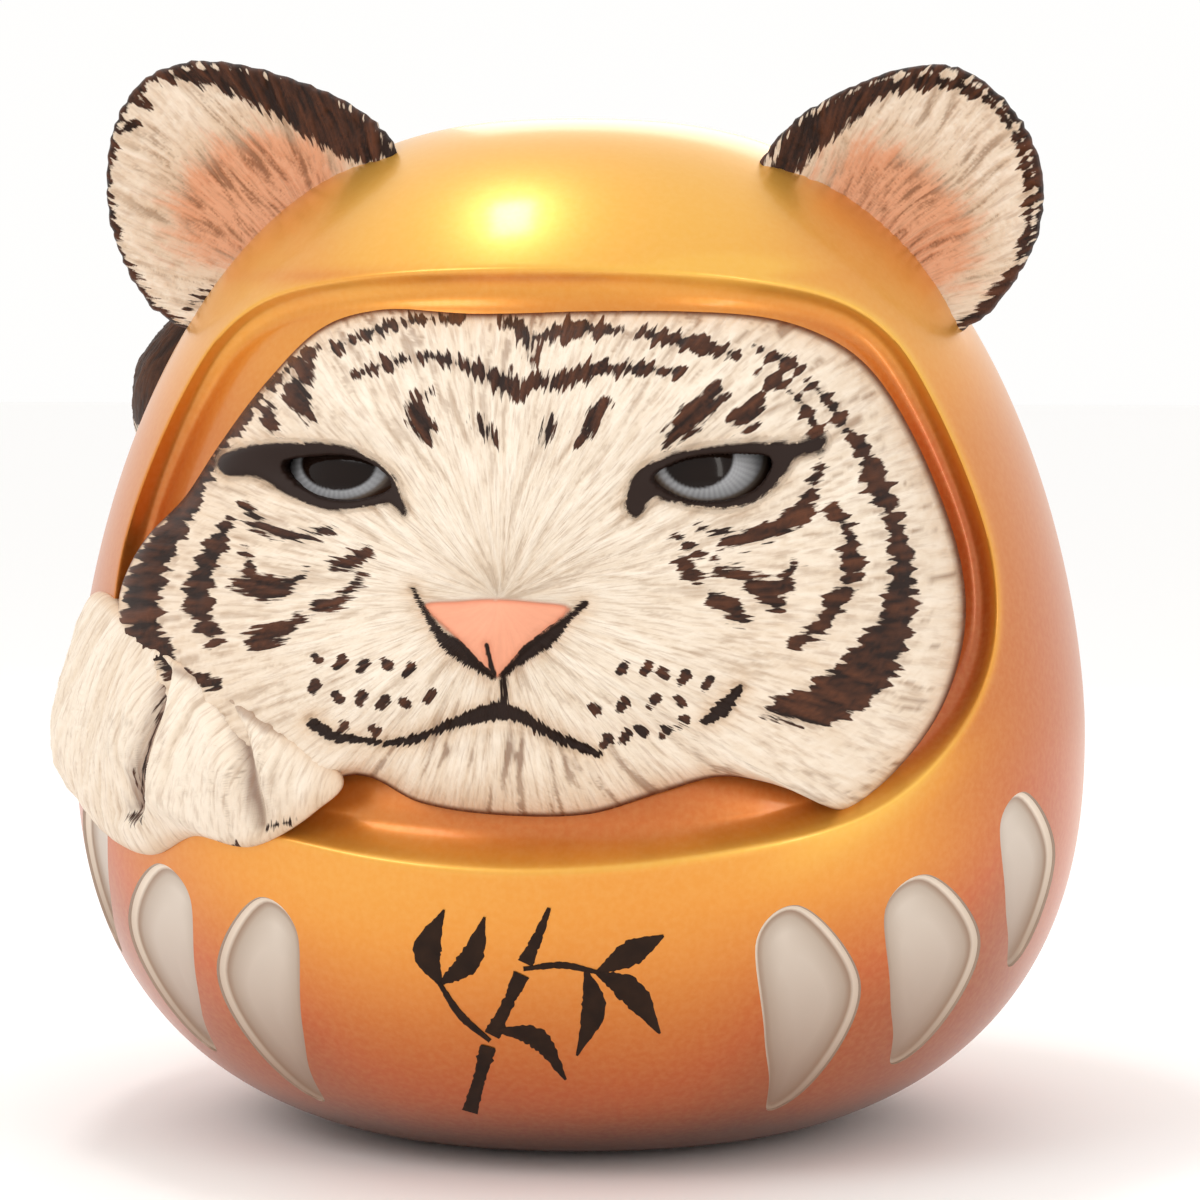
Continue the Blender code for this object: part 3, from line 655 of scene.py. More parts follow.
# ---- the tiger's paint, (across, up, width)
# Edge of the fur clockwise from the top, (across, up).
FUR_EDGE = [
    (0, 87.3), (10, 87.3), (19, 86.7), (25, 85), (30, 82), (34, 77), (38, 69), (41, 60), (41.5, 52),
    (39, 43.5), (34, 36.5), (29, 32.5), (25, 34), (20, 35.6), (14.5, 36.3), (8, 34.5), (0, 32.2),
    (-10, 32.2), (-18, 33.5), (-25, 36.5), (-34, 34), (-43, 37), (-49, 45), (-50.5, 54), (-49, 60),
    (-44, 67), (-40, 73), (-35, 79.5), (-29, 85.3), (-22, 87.5), (-12, 87),
]
FOREHEAD = [
    [(-26.5, 83.3, 0.6), (-22, 85.2, 0.9), (-18, 86.2, 0.9), (-13, 86.5, 0.5)],
    [(-7.5, 86, 1.2), (-5.6, 84.3, 1.5), (-5.4, 82, 0.4)],
    [(-6, 84, 1.0), (-2.5, 85, 1.0), (1, 85.3, 1.0), (5, 85, 0.5)],
    [(5.5, 84.8, 0.5), (9, 84.4, 1.1), (13, 83.6, 1.1), (17, 82.5, 0.4)],
    [(19, 83.3, 0.5), (21, 82.3, 0.7), (23.5, 81, 0.3)],
    [(-24.5, 80.3, 0.5), (-21, 81.5, 0.8), (-16.5, 82.3, 1.0), (-12, 81, 1.3), (-8.5, 79.5, 2.2),
     (-7, 78.8, 1.4)],
    [(-5, 79.5, 0.8), (-2.5, 79.6, 1.3), (1, 80.8, 1.0), (5, 81.1, 0.9), (10.5, 80.7, 0.8)],
    [(-16.7, 78.5, 0.7), (-18, 76.5, 1.6), (-17, 74.5, 2.0), (-16.7, 73.5, 1.0)],
    [(-10.9, 76, 0.5), (-10.6, 74.5, 1.5), (-9.3, 73, 0.5)],
    [(-3.2, 76, 0.4), (-3.6, 74.3, 1.3), (-4.2, 72.8, 0.4)],
    [(2.6, 77.4, 0.4), (1.4, 75.4, 1.4), (0, 73, 0.6)],
    [(15.2, 78.6, 1.0), (13.4, 76.8, 2.3), (11.5, 75, 1.8), (9.3, 72.8, 0.4)],
    [(19, 77, 1.4), (18, 76, 2.0), (16.4, 75, 0.6)],
    [(-30, 81, 1.0), (-30.6, 78.5, 2.2), (-29.2, 75.6, 0.9)],
    [(-33.8, 77.6, 0.5), (-33.6, 75.5, 1.2), (-33.3, 74.3, 0.5)],
]
CHEEK_STRIPES = [
    [(20.2, 80, 0.6), (23, 78.3, 0.6), (25, 75.5, 0.9), (25.6, 73, 0.8)],
    [(24.5, 79.6, 0.4), (27, 77.2, 0.9), (29, 74.3, 1.0), (31, 71.5, 1.2), (32, 69, 2.3), (33.7, 65, 1.6),
     (34.7, 61, 2.2), (34.6, 57, 3.0), (33.4, 52, 4.2), (30, 47.5, 5.0), (25, 44.2, 3.8), (20.3, 44, 0.8)],
    [(27.3, 65.5, 0.6), (29, 62.8, 1.4), (29.2, 59, 1.9), (28, 56, 1.9), (26, 53.5, 1.4), (23.4, 51, 0.5)],
    [(13, 63.6, 0.5), (17, 62.7, 1.1), (21, 63.5, 1.3), (23.7, 65.6, 1.3), (25.2, 68.3, 1.3), (26, 70, 0.6)],
    [(10.2, 62.8, 0.6), (12.6, 61.2, 0.5)],
    [(10.8, 60.2, 0.8), (11.8, 58.9, 1.4), (12.7, 57.6, 0.6)],
    [(14.1, 56.6, 0.5), (16, 55.2, 1.7), (18, 53.6, 0.7)],
    [(14.8, 59.4, 0.7), (17.5, 58.6, 1.0), (20, 56.7, 1.8), (21.6, 54.8, 0.8)],
    [(18.7, 58.3, 0.6), (21.6, 57.2, 1.6), (23, 59.6, 0.8)],
    [(-28.5, 83.3, 0.5), (-33, 79.8, 0.6), (-38, 74, 0.9), (-41, 69, 1.4), (-44, 64, 2.4), (-46.7, 59, 3.4),
     (-47.5, 54, 3.5), (-45.8, 50.5, 2.6), (-43, 48, 1.2), (-39.5, 46.6, 0.7)],
    [(-38.2, 64.6, 0.8), (-39.3, 62, 1.5), (-41, 58.8, 2.2), (-41.6, 56, 2.3), (-40.4, 53, 2.0),
     (-39.6, 51.4, 0.6)],
    [(-36.2, 66, 1.0), (-34.4, 64, 1.5), (-31, 62.9, 1.0), (-27.5, 63.5, 0.5)],
    [(-36.2, 61.4, 0.6), (-35.8, 59.4, 0.8)],
    [(-36.6, 57.8, 1.6), (-34, 57.2, 2.0), (-31.4, 57.7, 1.6), (-29.5, 59, 0.6)],
    [(-35, 51.5, 2.0), (-33, 52.3, 1.5), (-30.3, 53.8, 0.5)],
    [(-26.8, 59.5, 0.8), (-24.8, 59.9, 1.2), (-23.2, 61.3, 0.4)],
    [(-28.5, 55, 0.8), (-26, 56.2, 0.7), (-24, 58.4, 0.7)],
]
MOUTH = [
    [(-8.8, 44, 1.8), (-12, 43.2, 1.3), (-15, 42.1, 0.9), (-18, 40.9, 0.8), (-21, 40.4, 0.5),
     (-24, 40.8, 0.5), (-27, 41.2, 0.9), (-29, 42.6, 1.0)],
    [(-8.8, 44, 1.8), (-6, 43, 1.2), (-3, 41.2, 1.0), (0, 40, 0.8), (2, 39.2, 0.4)],
    [(-8.5, 47.8, 0.5), (-8.3, 46, 0.6), (-8.6, 44, 1.0)],
    [(13.5, 42.8, 0.8), (15.4, 44.2, 1.5), (16.4, 45.4, 0.9), (17.3, 46.6, 0.6)],
    [(-18.2, 57, 0.4), (-17, 54.8, 0.5), (-15.2, 52, 1.0), (-13.6, 50.7, 1.8), (-11.8, 49.2, 1.1),
     (-9.6, 47.6, 0.6)],
    [(0.4, 55.5, 0.5), (-1.5, 53.8, 0.7), (-3.6, 51.8, 1.6), (-5.6, 50.4, 1.4), (-7.6, 48.6, 0.7),
     (-8.6, 47.7, 0.5)],
    [(-10.2, 51, 0.3), (-9.9, 49.4, 0.4), (-9.5, 47.8, 0.4)],
]
# Rows of whisker dots: (start, end, dots, how far the row sags in the middle).
WHISKER_ROWS = [
    ((-28.5, 49.5), (-18.5, 48.5), 5, 0.0), ((-29, 46.5), (-16, 45.5), 6, 1.0),
    ((-25.5, 42), (-22.5, 42), 2, 0.0), ((5, 48.5), (13.5, 47), 5, -0.4),
    ((1.5, 44), (11, 45), 4, -0.2), ((2.5, 41), (11, 42.5), 5, 0.4),
]
DOT_SCATTER = 0.22
NOSE = [(-17, 55.3), (-13, 55.8), (-9.5, 56), (-5, 55.7), (-1.3, 55), (-4, 52.3), (-6.7, 50), (-9, 47.6),
        (-11.5, 49.3), (-14, 52.3)]
LIDS_OPEN = [
    [(-32.2, 70.6), (-29, 71.4), (-25, 71.4), (-22, 70.2), (-20.6, 68.4), (-22.5, 67.2), (-26, 66.8),
     (-29.5, 67.8)],
    [(7.8, 69), (10, 70.6), (13, 71.4), (17, 71.6), (20.4, 71.2), (19.6, 68.8), (17.5, 67.3), (14.5, 66.7),
     (11, 67)],
]
EYE_RIMS = [
    [(-39, 71.5), (-35, 72.8), (-30, 73), (-26, 72.7), (-22.5, 71.3), (-20, 69), (-19, 65.2), (-20.7, 66.5),
     (-23.5, 66), (-27.5, 65.8), (-31.5, 67.2), (-35, 69.3), (-38.5, 69.5)],
    [(4.8, 66), (6, 69.8), (9, 71.4), (13, 72.5), (18, 73), (23, 73.1), (26.6, 73.6), (26, 72), (23.5, 71.3),
     (22, 69.3), (20, 67.3), (17, 66), (13, 65.9), (9.6, 66.7), (7.8, 67), (6.3, 65)],
]

# Where the face's hairs run out from.
HAIR_CENTRE = (-9.0, 56.0)
# Soft lumps and hollows: (x, z, half width, half height, how far out), the CAD's and then finer ones.
FACE_X = -1.4
FACE_FORMS = [
    (-19, 77, 8.5, 3, 1.6), (17, 77.5, 8.5, 3, 1.6), (-20, 70.5, 8, 4, -2.2), (18, 71, 8, 4, -2.2),
    (FACE_X, 83, 16, 6, 0.7), (FACE_X, 68, 7.5, 9, 2.2), (FACE_X, 60, 7.5, 6, 3.4), (FACE_X, 56.5, 5, 3, 2.4),
    (-12, 51.5, 8.5, 5.5, 3.6), (9, 51.5, 8.5, 5.5, 3.6), (FACE_X, 51.5, 15, 9.5, 2.2),
    (-2, 42.5, 9.5, 4, 3.0),
    (-31, 57, 9, 10, 0.8), (31, 55, 9, 12, 1.4), (-1.2, 46.5, 13, 1.6, -1.0),
]
# How deep the lids' openings go, so that the eyes show in them.
LID_DEPTH = 11.0
# Rings that close the head's back: (share of the edge, how far out of the body).
HEAD_BACK = ((1.0, -6.5), (0.97, -9.0), (0.6, -14.0))
# Depths of the finer marks are stretched, so that the hairs fray them less than the stripes.
CRISP = 2.4


def fur_centre_reach(columns):
    centre = np.array([FACE_X, 60.0])
    edge = under_picture(FUR_EDGE, 0.5)[:, [0, 2]]
    at = np.linspace(-math.pi, math.pi, columns, endpoint=False)
    return centre, at, reach_about(even_loop(edge, 1800), centre, at)


def face_out(x, z, to_edge):
    """How far the painted face stands out of the body."""
    out = 0.6 * (1 - np.exp(-to_edge / 4.0)) - 3.4 * np.exp(-(to_edge / 1.3) ** 1.2)
    lift = 1 - np.exp(-to_edge / 2.5)
    for cx, cz, wide, high, amount in FACE_FORMS:
        out = out + amount * np.exp(-((x - cx) / wide) ** 2 - ((z - cz) / high) ** 2) * lift
    # The cheek on the doll's right lies over the rim.
    spill = soft_step(-x, 36.0, 41.0) * soft_step(z, 70.0, 64.0)
    over = 1.7 * (1 - np.exp(-to_edge / 0.7)) - 0.4
    return out * (1 - spill) + np.maximum(out, over) * spill


def hair_grain(marks, low, high, way, seed, step=0.16):
    """Fine and coarse grain combed over a flat area, at the marks; way(across, up) is how the hairs run."""
    across, up = np.arange(low[0], high[0], step), np.arange(low[1], high[1], step)
    v, u = np.meshgrid(up, across, indexing="ij")
    rise, run = np.sin(way(u, v)), np.cos(way(u, v))
    fine, coarse = combed(rise, run, 9, seed), combed(rise, run, 22, seed + 2, 3.2)
    return sample(fine, across, up, marks), sample(coarse, across, up, marks)


def face_hair(u, v):
    swirl = 0.12 * np.sin(u * 0.31 + v * 0.17) + 0.1 * np.sin(v * 0.43 - u * 0.11)
    return np.arctan2(v - HAIR_CENTRE[1], u - HAIR_CENTRE[0]) + swirl


def sample(raster, across, up, marks):
    i = np.clip((marks[:, 1] - up[0]) / (up[1] - up[0]), 0, len(up) - 1.01)
    j = np.clip((marks[:, 0] - across[0]) / (across[1] - across[0]), 0, len(across) - 1.01)
    i0, j0 = i.astype(int), j.astype(int)
    fi, fj = i - i0, j - j0
    low = raster[i0, j0] * (1 - fj) + raster[i0, j0 + 1] * fj
    high = raster[i0 + 1, j0] * (1 - fj) + raster[i0 + 1, j0 + 1] * fj
    return low * (1 - fi) + high * fi


def whisker_dots():
    """The dots of every row, each a little off its even place."""
    scatter = np.random.default_rng(7)
    dots = []
    for start, end, count, sag in WHISKER_ROWS:
        share = np.linspace(0, 1, count)[:, None]
        row = np.array(start) * (1 - share) + np.array(end) * share
        row[:, 1:] -= 4 * sag * share * (1 - share)
        dots.append(row + scatter.normal(0, DOT_SCATTER, row.shape))
    return np.vstack(dots)


def build_head(material):
    columns, rows = 620, 150
    centre, at, reach = fur_centre_reach(columns)
    share = (np.arange(1, rows + 1) / rows)[:, None]
    x = centre[0] + share * reach * np.cos(at)
    z = centre[1] + share * reach * np.sin(at)
    to_edge = (1 - share) * reach
    out = face_out(x, z, to_edge)
    marks = picture(on_front(x, z, out).reshape(-1, 3))
    thin, thick = hair_grain(marks, (-58, 26), (50, 94), face_hair, 3)
    streak = 0.55 * thin + 0.45 * thick
    rims, lids = patches_depth(marks, EYE_RIMS), patches_depth(marks, LIDS_OPEN)
    mouth = strokes_depth(marks, MOUTH)
    nose = patch_depth(marks, NOSE)

    relief = (0.38 * (thick - 0.5) + 0.12 * (thin - 0.5)) * soft_step(-nose, 0.0, 1.5)
    relief = relief * soft_step(-rims, -0.5, 0.6)
    relief -= 0.7 * soft_step(mouth, -0.8, 0.3)
    relief += 0.5 * soft_step(rims, -0.6, 0.5)
    relief -= LID_DEPTH * soft_step(lids, -0.15, 0.3)
    out = out + relief.reshape(out.shape) * (1 - np.exp(-to_edge / 0.9))
    rings = list(on_front(x, z, out))
    edge = np.column_stack([x[-1], z[-1]])
    for share_back, depth in HEAD_BACK:
        rings.append(on_front(*(centre + (edge - centre) * share_back).T, depth))
    obj = ring_piece("tiger_head", rings, (material,))

    # Paint: ivory, with tan painted shade toward the fur's edge, on the doll's right cheek, round the mouth
    # and eye rims and under the mouth, warmer patches above the nose and on the doll's left muzzle, then the
    # nose, a painted shadow line at the fur's edge, then ink.
    inward = to_edge.ravel()
    tan_and_painted_shade = 0.5 * np.exp(-inward / 2.2) + 0.22 * soft_step(marks[:, 0], -20, -46)
    tan_and_painted_shade += 0.35 * soft_step(mouth, -2.2, 0.0) + 0.3 * soft_step(rims, -1.6, 0.0)
    tan_and_painted_shade += 0.22 * blob(marks, -8, 36, 16, 4) + 0.2 * blob(marks, -9, 58, 9, 4)
    tan_and_painted_shade += 0.16 * blob(marks, 24, 50, 10, 12)
    hairs = soft_step(0.75 * thick + 0.25 * thin, 0.32, 0.18) * (0.16 + 0.5 * np.exp(-inward / 6.0))
    hairs += 0.5 * soft_step(thick, 0.45, 0.2) * blob(marks, -7, 39.5, 10, 2.2)
    paint = layered(
        IVORY_SHADE,
        (IVORY, 0.25 + streak),
        (TAN, tan_and_painted_shade * (1.25 - 0.6 * thin)),
        (BROWN, np.clip(hairs, 0, 0.65)),
        (PINK * (0.94 + 0.1 * thin[:, None]), soft_step(nose, -0.15, 0.15)),
        (linear(206, 116, 84), 0.6 * np.exp(-((nose - 0.1) / 0.25) ** 2)),
        # A painted shadow line where the fur meets the window's rim.
        (linear(92, 44, 20), soft_step(inward, 0.9, 0.1)))

    stripes = strokes_depth(marks, FOREHEAD + CHEEK_STRIPES) + 0.22 + 1.3 * (thick - 0.5)
    crisp = CRISP * np.maximum(mouth + 0.1 + 0.3 * (streak - 0.5), rims + 0.5 * (thin - 0.5))
    dots = []
    for number, (a, b) in enumerate(whisker_dots()):
        tilt = 0.35 if number % 3 else -0.2
        dots.append([(a - 0.25, b - tilt, 0.85), (a + 0.25, b + tilt, 1.05)])
    spots = CRISP * (strokes_depth(marks, dots) + 0.06)
    furry = soft_step(-nose, -0.1, 0.3) * soft_step(-rims, -0.1, 0.5)
    set_fur(obj, x.shape, paint, np.maximum(np.maximum(stripes, crisp), spots),
            np.where(crisp > -0.1, 0.2 * streak, streak),
            comb_around(marks, HAIR_CENTRE) * furry[:, None], len(HEAD_BACK))
    return obj


# ---- eyes
# (name, CAD node, middle of the opening (x, z), pupil (across, up, half width, half height), iris the same)
EYES = [
    ("tiger_eye_right", "eye_right", (-19.6, 70.6), (-26.2, 70.7, 4.1, 2.9), (-26.3, 71.2, 5.9, 4.5)),
    ("tiger_eye_left", "eye_left", (17.6, 71.2), (12.7, 71.5, 3.9, 3.5), (13.8, 71.6, 6.2, 4.9)),
]
# Half the width, depth and height of the eye itself.
EYE_SIZE = (8.4, 5.5, 6.6)


def build_eye(name, middle, pupil, iris, material):
    spot = on_front(middle[0], middle[1], -1.6)
    outward = np.array([spot[0], spot[1], 0.0]) / np.hypot(spot[0], spot[1])
    side = np.array([-outward[1], outward[0], 0.0])
    centre = spot - outward * EYE_SIZE[1]
    a = circle(128)[None, :]
    b = np.linspace(0.02, math.pi - 0.02, 90)[:, None]
    rings = (centre + (EYE_SIZE[1] * np.cos(b) * np.ones_like(a))[..., None] * outward
             + (EYE_SIZE[0] * np.sin(b) * np.cos(a))[..., None] * side
             + (EYE_SIZE[2] * np.sin(b) * np.sin(a))[..., None] * np.array([0.0, 0.0, 1.0]))
    obj = ring_piece(name, rings, (material,))
    marks = picture(with_ends(rings))

    def ellipse(shape):
        return 1 - np.hypot((marks[:, 0] - shape[0]) / shape[2], (marks[:, 1] - shape[1]) / shape[3])

    rays = 0.5 + 0.5 * np.sin(np.arctan2(marks[:, 1] - iris[1], marks[:, 0] - iris[0]) * 46)
    ring = linear(176, 176, 178) * (0.8 + 0.25 * rays[:, None])
    set_colour(obj, layered(
        linear(60, 38, 26),
        (ring, soft_step(ellipse(iris), -0.04, 0.04)),
        (linear(112, 98, 86), np.exp(-(ellipse(iris) / 0.05) ** 2)),
        (linear(24, 13, 8), soft_step(ellipse(pupil), -0.05, 0.05))))
    return obj


# ---- ears
# Outlines of the ears, (x, z).
EAR_RIGHT = [(-18, 101), (-20, 107), (-30, 112), (-42, 113.5), (-49, 108), (-50, 97), (-45, 87.5),
             (-36, 84.5), (-28, 90)]
EAR_LEFT = [(20, 99), (23, 106), (32, 111.5), (41, 112.5), (48, 106), (49.5, 97), (45, 88), (37, 84),
            (28, 89)]
# Dip of the dish behind the rim: (share of the way out, how far back), front and then back.
EAR_DISH = [(0.0, 4.7), (0.34, 4.2), (0.56, 3.2), (0.76, 1.7), (0.9, 0.4), (0.97, -0.1), (1.0, 0.7)]
EAR_BACK = [(1.0, 2.0), (0.96, 3.6), (0.85, 6.0), (0.65, 8.6), (0.4, 10.4), (0.1, 11.2)]
EAR_INK = {
    -1: [
        [(-45, 112.8, 1.2), (-39, 112.5, 2.6), (-34, 111, 4.0), (-29, 108.8, 5.4), (-24.6, 106, 5.0),
         (-20.5, 104.4, 1.8)],
        [(-48.3, 110.3, 1.0), (-47, 109.6, 1.0)], [(-50, 106.5, 0.8), (-48.3, 107.4, 0.9)],
        [(-50.9, 103, 0.4), (-51, 98, 0.7), (-50.2, 94, 0.8), (-48.6, 91, 0.6)],
        [(-42.6, 87.6, 0.8), (-41, 88.6, 1.0), (-38.8, 88.6, 1.6), (-39, 86.5, 1.4)],
        [(-39, 88.6, 1.0), (-35, 93.6, 0.4), (-30.6, 98.2, 0.4), (-26, 101.3, 0.5), (-20, 104.4, 0.6)],
    ],
    1: [
        [(21.8, 102.6, 2.6), (24.4, 106, 4.0), (28.4, 109, 3.2), (33, 111.4, 2.2), (38, 112.2, 1.6),
         (43, 110.8, 1.2), (46.8, 106.8, 0.8), (48.6, 101, 0.8), (48.2, 95, 1.0), (46, 90, 1.3),
         (42.4, 86.4, 1.2), (40, 85.2, 0.9)],
        [(21.6, 101.4, 0.5), (25, 99.6, 0.5), (29, 97.9, 0.4), (33, 95, 0.3), (36.5, 91, 0.5),
         (40, 85.5, 0.6)],
    ],
}
# The pink inside: (across, up, half width, half height, turn).
EAR_PINK = {-1: (-35, 99.5, 9.6, 7.0, 22), 1: (34.5, 97.5, 9.4, 6.2, -42)}


def build_ear(name, outline, side, material):
    columns, front_rows, back_rows = 420, 90, 30
    loop = even_loop(outline, columns)
    middle = np.array([side * 36.0, 98.5])
    # The rim is a little ragged where tufts end.
    tufts = np.interp(np.arange(columns), np.arange(0, columns, 3), rng.normal(0, 0.006, columns // 3),
                      period=columns)
    shares = np.concatenate([np.linspace(0.02, 1.0, front_rows), np.linspace(0.995, 0.1, back_rows)])
    front = np.arange(len(shares)) < front_rows
    dish = smooth_path(EAR_DISH, steps=10)
    back = smooth_path(EAR_BACK, steps=10)[::-1]
    dips = np.where(front, np.interp(shares, *dish.T), np.interp(shares, *back.T))
    p = middle + (loop - middle)[None] * (shares[:, None] * (1 + tufts * shares[:, None] ** 6))[..., None]
    base = middle + np.array([-side * 17.0, -15.0])

    def ear_hair(u, v):
        return np.arctan2(v - base[1], u - base[0]) + 0.16 * np.sin(0.5 * u + 0.3 * v)

    flat = p.reshape(-1, 2)
    thin, thick = hair_grain(flat, loop.min(axis=0) - 2.0, loop.max(axis=0) + 2.0, ear_hair, 21 + side)
    y = -15.5 + 0.26 * (np.abs(p[..., 0]) - 20.0) + dips[:, None]
    pushed = (0.75 * (thick - 0.5) + 0.2 * (thin - 0.5)).reshape(y.shape)
    y = y + np.where(front, -1.0, 1.0)[:, None] * pushed * soft_step(shares, 0.0, 0.3)[:, None]
    rings = np.stack([p[..., 0], y, p[..., 1]], axis=-1)
    obj = ring_piece(name, rings, (material,))

    marks = picture(rings.reshape(-1, 3))
    tone = 0.5 * thin + 0.5 * thick
    out_share = np.repeat(shares, columns)
    is_back = np.repeat(~front, columns)
    across, up, wide, high, turn = EAR_PINK[side]
    rosy = soft_step(blob(marks, across, up, wide, high, turn) + 0.5 * (tone - 0.5), 0.2, 0.6) * ~is_back
    around_pink = soft_step(blob(marks, across, up, 1.35 * wide, 1.4 * high, turn), 0.2, 0.5)
    grooves = soft_step(tone, 0.4, 0.2) * soft_step(out_share, 0.98, 0.7) * ~is_back
    paint = layered(
        IVORY_SHADE,
        (IVORY, 0.15 + tone),
        (linear(222, 142, 104), 0.9 * rosy),
        (linear(150, 78, 46), rosy * soft_step(tone, 0.56, 0.28)),
        (TAN, 0.35 * around_pink),
        (linear(52, 32, 22), is_back * soft_step(flat[:, 1], 84, 92) * 0.95),
        (BROWN, 0.4 * grooves))
    # A dark, broken line of tufts runs round the rim.
    to_rim = (1 - out_share) * np.linalg.norm(loop - middle, axis=1).mean()
    ink = np.maximum(strokes_depth(marks, EAR_INK[side]) + tone - 0.5, 0.8 - to_rim + 1.3 * (tone - 0.5))
    set_fur(obj, p.shape[:2], paint, np.where(is_back, -2.0, ink), tone, comb_around(flat, base))
    return obj


# ---- paw
# The paw's outline, (angle from the front, z), and its toes, each with a half width, half height and lift.
PAW = [(-19, 42.5), (-30, 48.5), (-48, 54.5), (-64, 58), (-76, 55), (-84, 47), (-84, 40), (-76, 35.5),
       (-67, 36.5), (-57, 33.4), (-47, 32.3), (-38.5, 35), (-30, 34.6), (-22, 38.5)]
TOES = [(-64, 43, 8, 9, 1.7), (-42.5, 40.5, 7, 8.5, 3.4), (-28, 41, 5, 5, 3.0)]
# Creases between the toes and claws, (across, up, width).
CREASES = [
    [(-46.2, 48.5, 0.4), (-47, 45, 0.5), (-48.6, 41, 0.7), (-49.6, 37, 1.0), (-49.4, 33.5, 0.6)],
    [(-40.6, 46, 0.3), (-38.6, 43, 0.4), (-37.4, 39, 0.6), (-36.6, 35, 0.7), (-35.4, 31.6, 0.6)],
]
CLAWS = [[(-41, 29.4, 0.4), (-39, 28.9, 0.9), (-37.3, 29.4, 0.5)], [(-49.6, 32.6, 0.4), (-48, 32, 0.6)],
         [(-34.4, 31.3, 0.4), (-31.5, 31.9, 0.6)]]
CHEEK_LINE = [(-44, 48.4, 0.5), (-40.6, 46.8, 0.6), (-37.6, 44.8, 0.8), (-34, 42.4, 1.0), (-31.5, 41.4, 0.6)]
# The way the paw's hairs run, down and a little back.
PAW_WAY = -1.9
# Rings that close the paw's back, in shares of the outline.
PAW_BACK = (0.995, 0.6, 0.15)


def build_paw(material):
    columns = 700
    loop = even_loop(PAW, columns)
    middle = np.array([-54.0, 46.0])
    shares = np.concatenate([np.linspace(0.02, 0.9, 100), np.linspace(0.91, 1.0, 24)])
    p = middle + (loop - middle)[None] * shares[:, None, None]
    out = 0.3 + 2.2 * np.sqrt(np.maximum(0.0, 1 - shares ** 3))[:, None] * np.ones(columns)
    # The side of the paw lies flatter against the body.
    out = out * (1 - 0.55 * soft_step(-p[..., 0], 60, 78))
    for angle, z, wide, high, amount in TOES:
        lump = amount * np.exp(-((p[..., 0] - angle) / wide) ** 2 - ((p[..., 1] - z) / high) ** 2)
        out = out + lump * (1 - shares ** 4)[:, None]

    def paw_hair(u, v):
        return PAW_WAY + 0.012 * (u + 50.0) + 0.2 * np.sin(0.2 * u + 0.1 * v)

    # One degree round the body is close to a millimetre.
    flat = p.reshape(-1, 2)
    thin, thick = hair_grain(flat, (-94, 26), (-12, 66), paw_hair, 41, 0.28)
    marks = picture(wrapped(p[..., 0], p[..., 1], out).reshape(-1, 3))
    crease = strokes_depth(marks, CREASES)
    relief = 0.5 * (thick - 0.5) + 0.25 * (thin - 0.5) - 2.6 * soft_step(crease, -2.2, 0.3)
    out = out + relief.reshape(out.shape) * (1 - shares ** 8)[:, None]
    rings = list(wrapped(p[..., 0], p[..., 1], out))
    for share in PAW_BACK:
        rings.append(wrapped(*(middle + (loop - middle) * share).T, -0.5))
    obj = ring_piece("tiger_paw", rings, (material,))
    tone = 0.5 * thin + 0.5 * thick
    line = stroke_depth(marks, CHEEK_LINE)
    paint = layered(
        IVORY_SHADE,
        (IVORY, 0.35 + tone),
        # Tan painted shade toward the paw's edge.
        (TAN, 0.5 * soft_step(np.repeat(shares, columns), 0.9, 1.0) + 0.04),
        (BROWN, 0.75 * soft_step(crease + tone - 0.5, -0.9, 0.3)),
        (BROWN, 0.5 * soft_step(line + tone - 0.5, -0.7, 0.4)),
        (linear(112, 88, 72), 0.75 * soft_step(tone, 0.4, 0.22) * blob(marks, -38, 39, 4, 8)))
    ink = np.maximum(strokes_depth(marks, CLAWS), stroke_depth(marks, CREASES[0]) - 0.25) + 0.7 * (tone - 0.5)
    set_fur(obj, p.shape[:2], paint, ink, tone, comb_along(flat, PAW_WAY), len(PAW_BACK))
    return obj


# ---- tail
# (angle from the front, z, half width, height)
TAIL = [(-176, 15, 3.6, 3.2), (-158, 27.5, 5, 5.4), (-135, 48.5, 5.4, 6), (-114, 71, 5.9, 6.8),
        (-103, 82, 5.6, 6.8), (-97, 88, 2.4, 3.4)]
TAIL_BANDS = 7
# Radius that the hairs are drawn on round the tail.
TAIL_HAIR = 5.0


def build_tail(material):
    path = smooth_path(TAIL, steps=52)
    rows, columns = len(path), 110
    r = egg_radius(path[:, 1])
    ahead = np.radians(np.gradient(path[:, 0])) * r
    rise = np.gradient(path[:, 1])
    size = np.hypot(ahead, rise)
    across_a, across_z = (-rise / size)[:, None], (ahead / size)[:, None]
    around = circle(columns)[None, :]
    off = path[:, 2:3] * np.cos(around)
    high = np.where(np.sin(around) > 0, path[:, 3:4] * np.sin(around), 0.9 * np.sin(around)) + 0.6
    along = np.ones((rows, columns))
    thin = combed(along, along * 0.12, 9, 51)
    thick = combed(along, along * 0.12, 18, 53, 3.0)
    high = high + (0.5 * (thick - 0.5) + 0.25 * (thin - 0.5)) * np.clip(np.sin(around), 0, 1)
    angle = path[:, 0:1] + np.degrees(across_a * off / r[:, None])
    rings = wrapped(angle, path[:, 1:2] + across_z * off, high)
    obj = ring_piece("tiger_tail", rings, (material,))
    tone = 0.5 * thin + 0.5 * thick
    share = np.linspace(0, 1, rows)[:, None]
    paint = layered(IVORY_SHADE, (IVORY, 0.2 + tone.ravel()))
    band = np.cos(share * TAIL_BANDS * 2 * math.pi + 0.5 * np.sin(around * 2))
    # The last third of the tail is dark.
    ink = np.maximum(1.3 * band - 0.15, 14.0 * (share - 0.68)) + 1.1 * (tone - 0.5)
    run = np.cumsum(size)[:, None]
    comb = np.stack(np.broadcast_arrays(TAIL_HAIR * np.cos(around), TAIL_HAIR * np.sin(around),
                                        HAIR_STRETCH * run), axis=-1)
    set_fur(obj, tone.shape, paint, ink, tone, comb)
    return obj


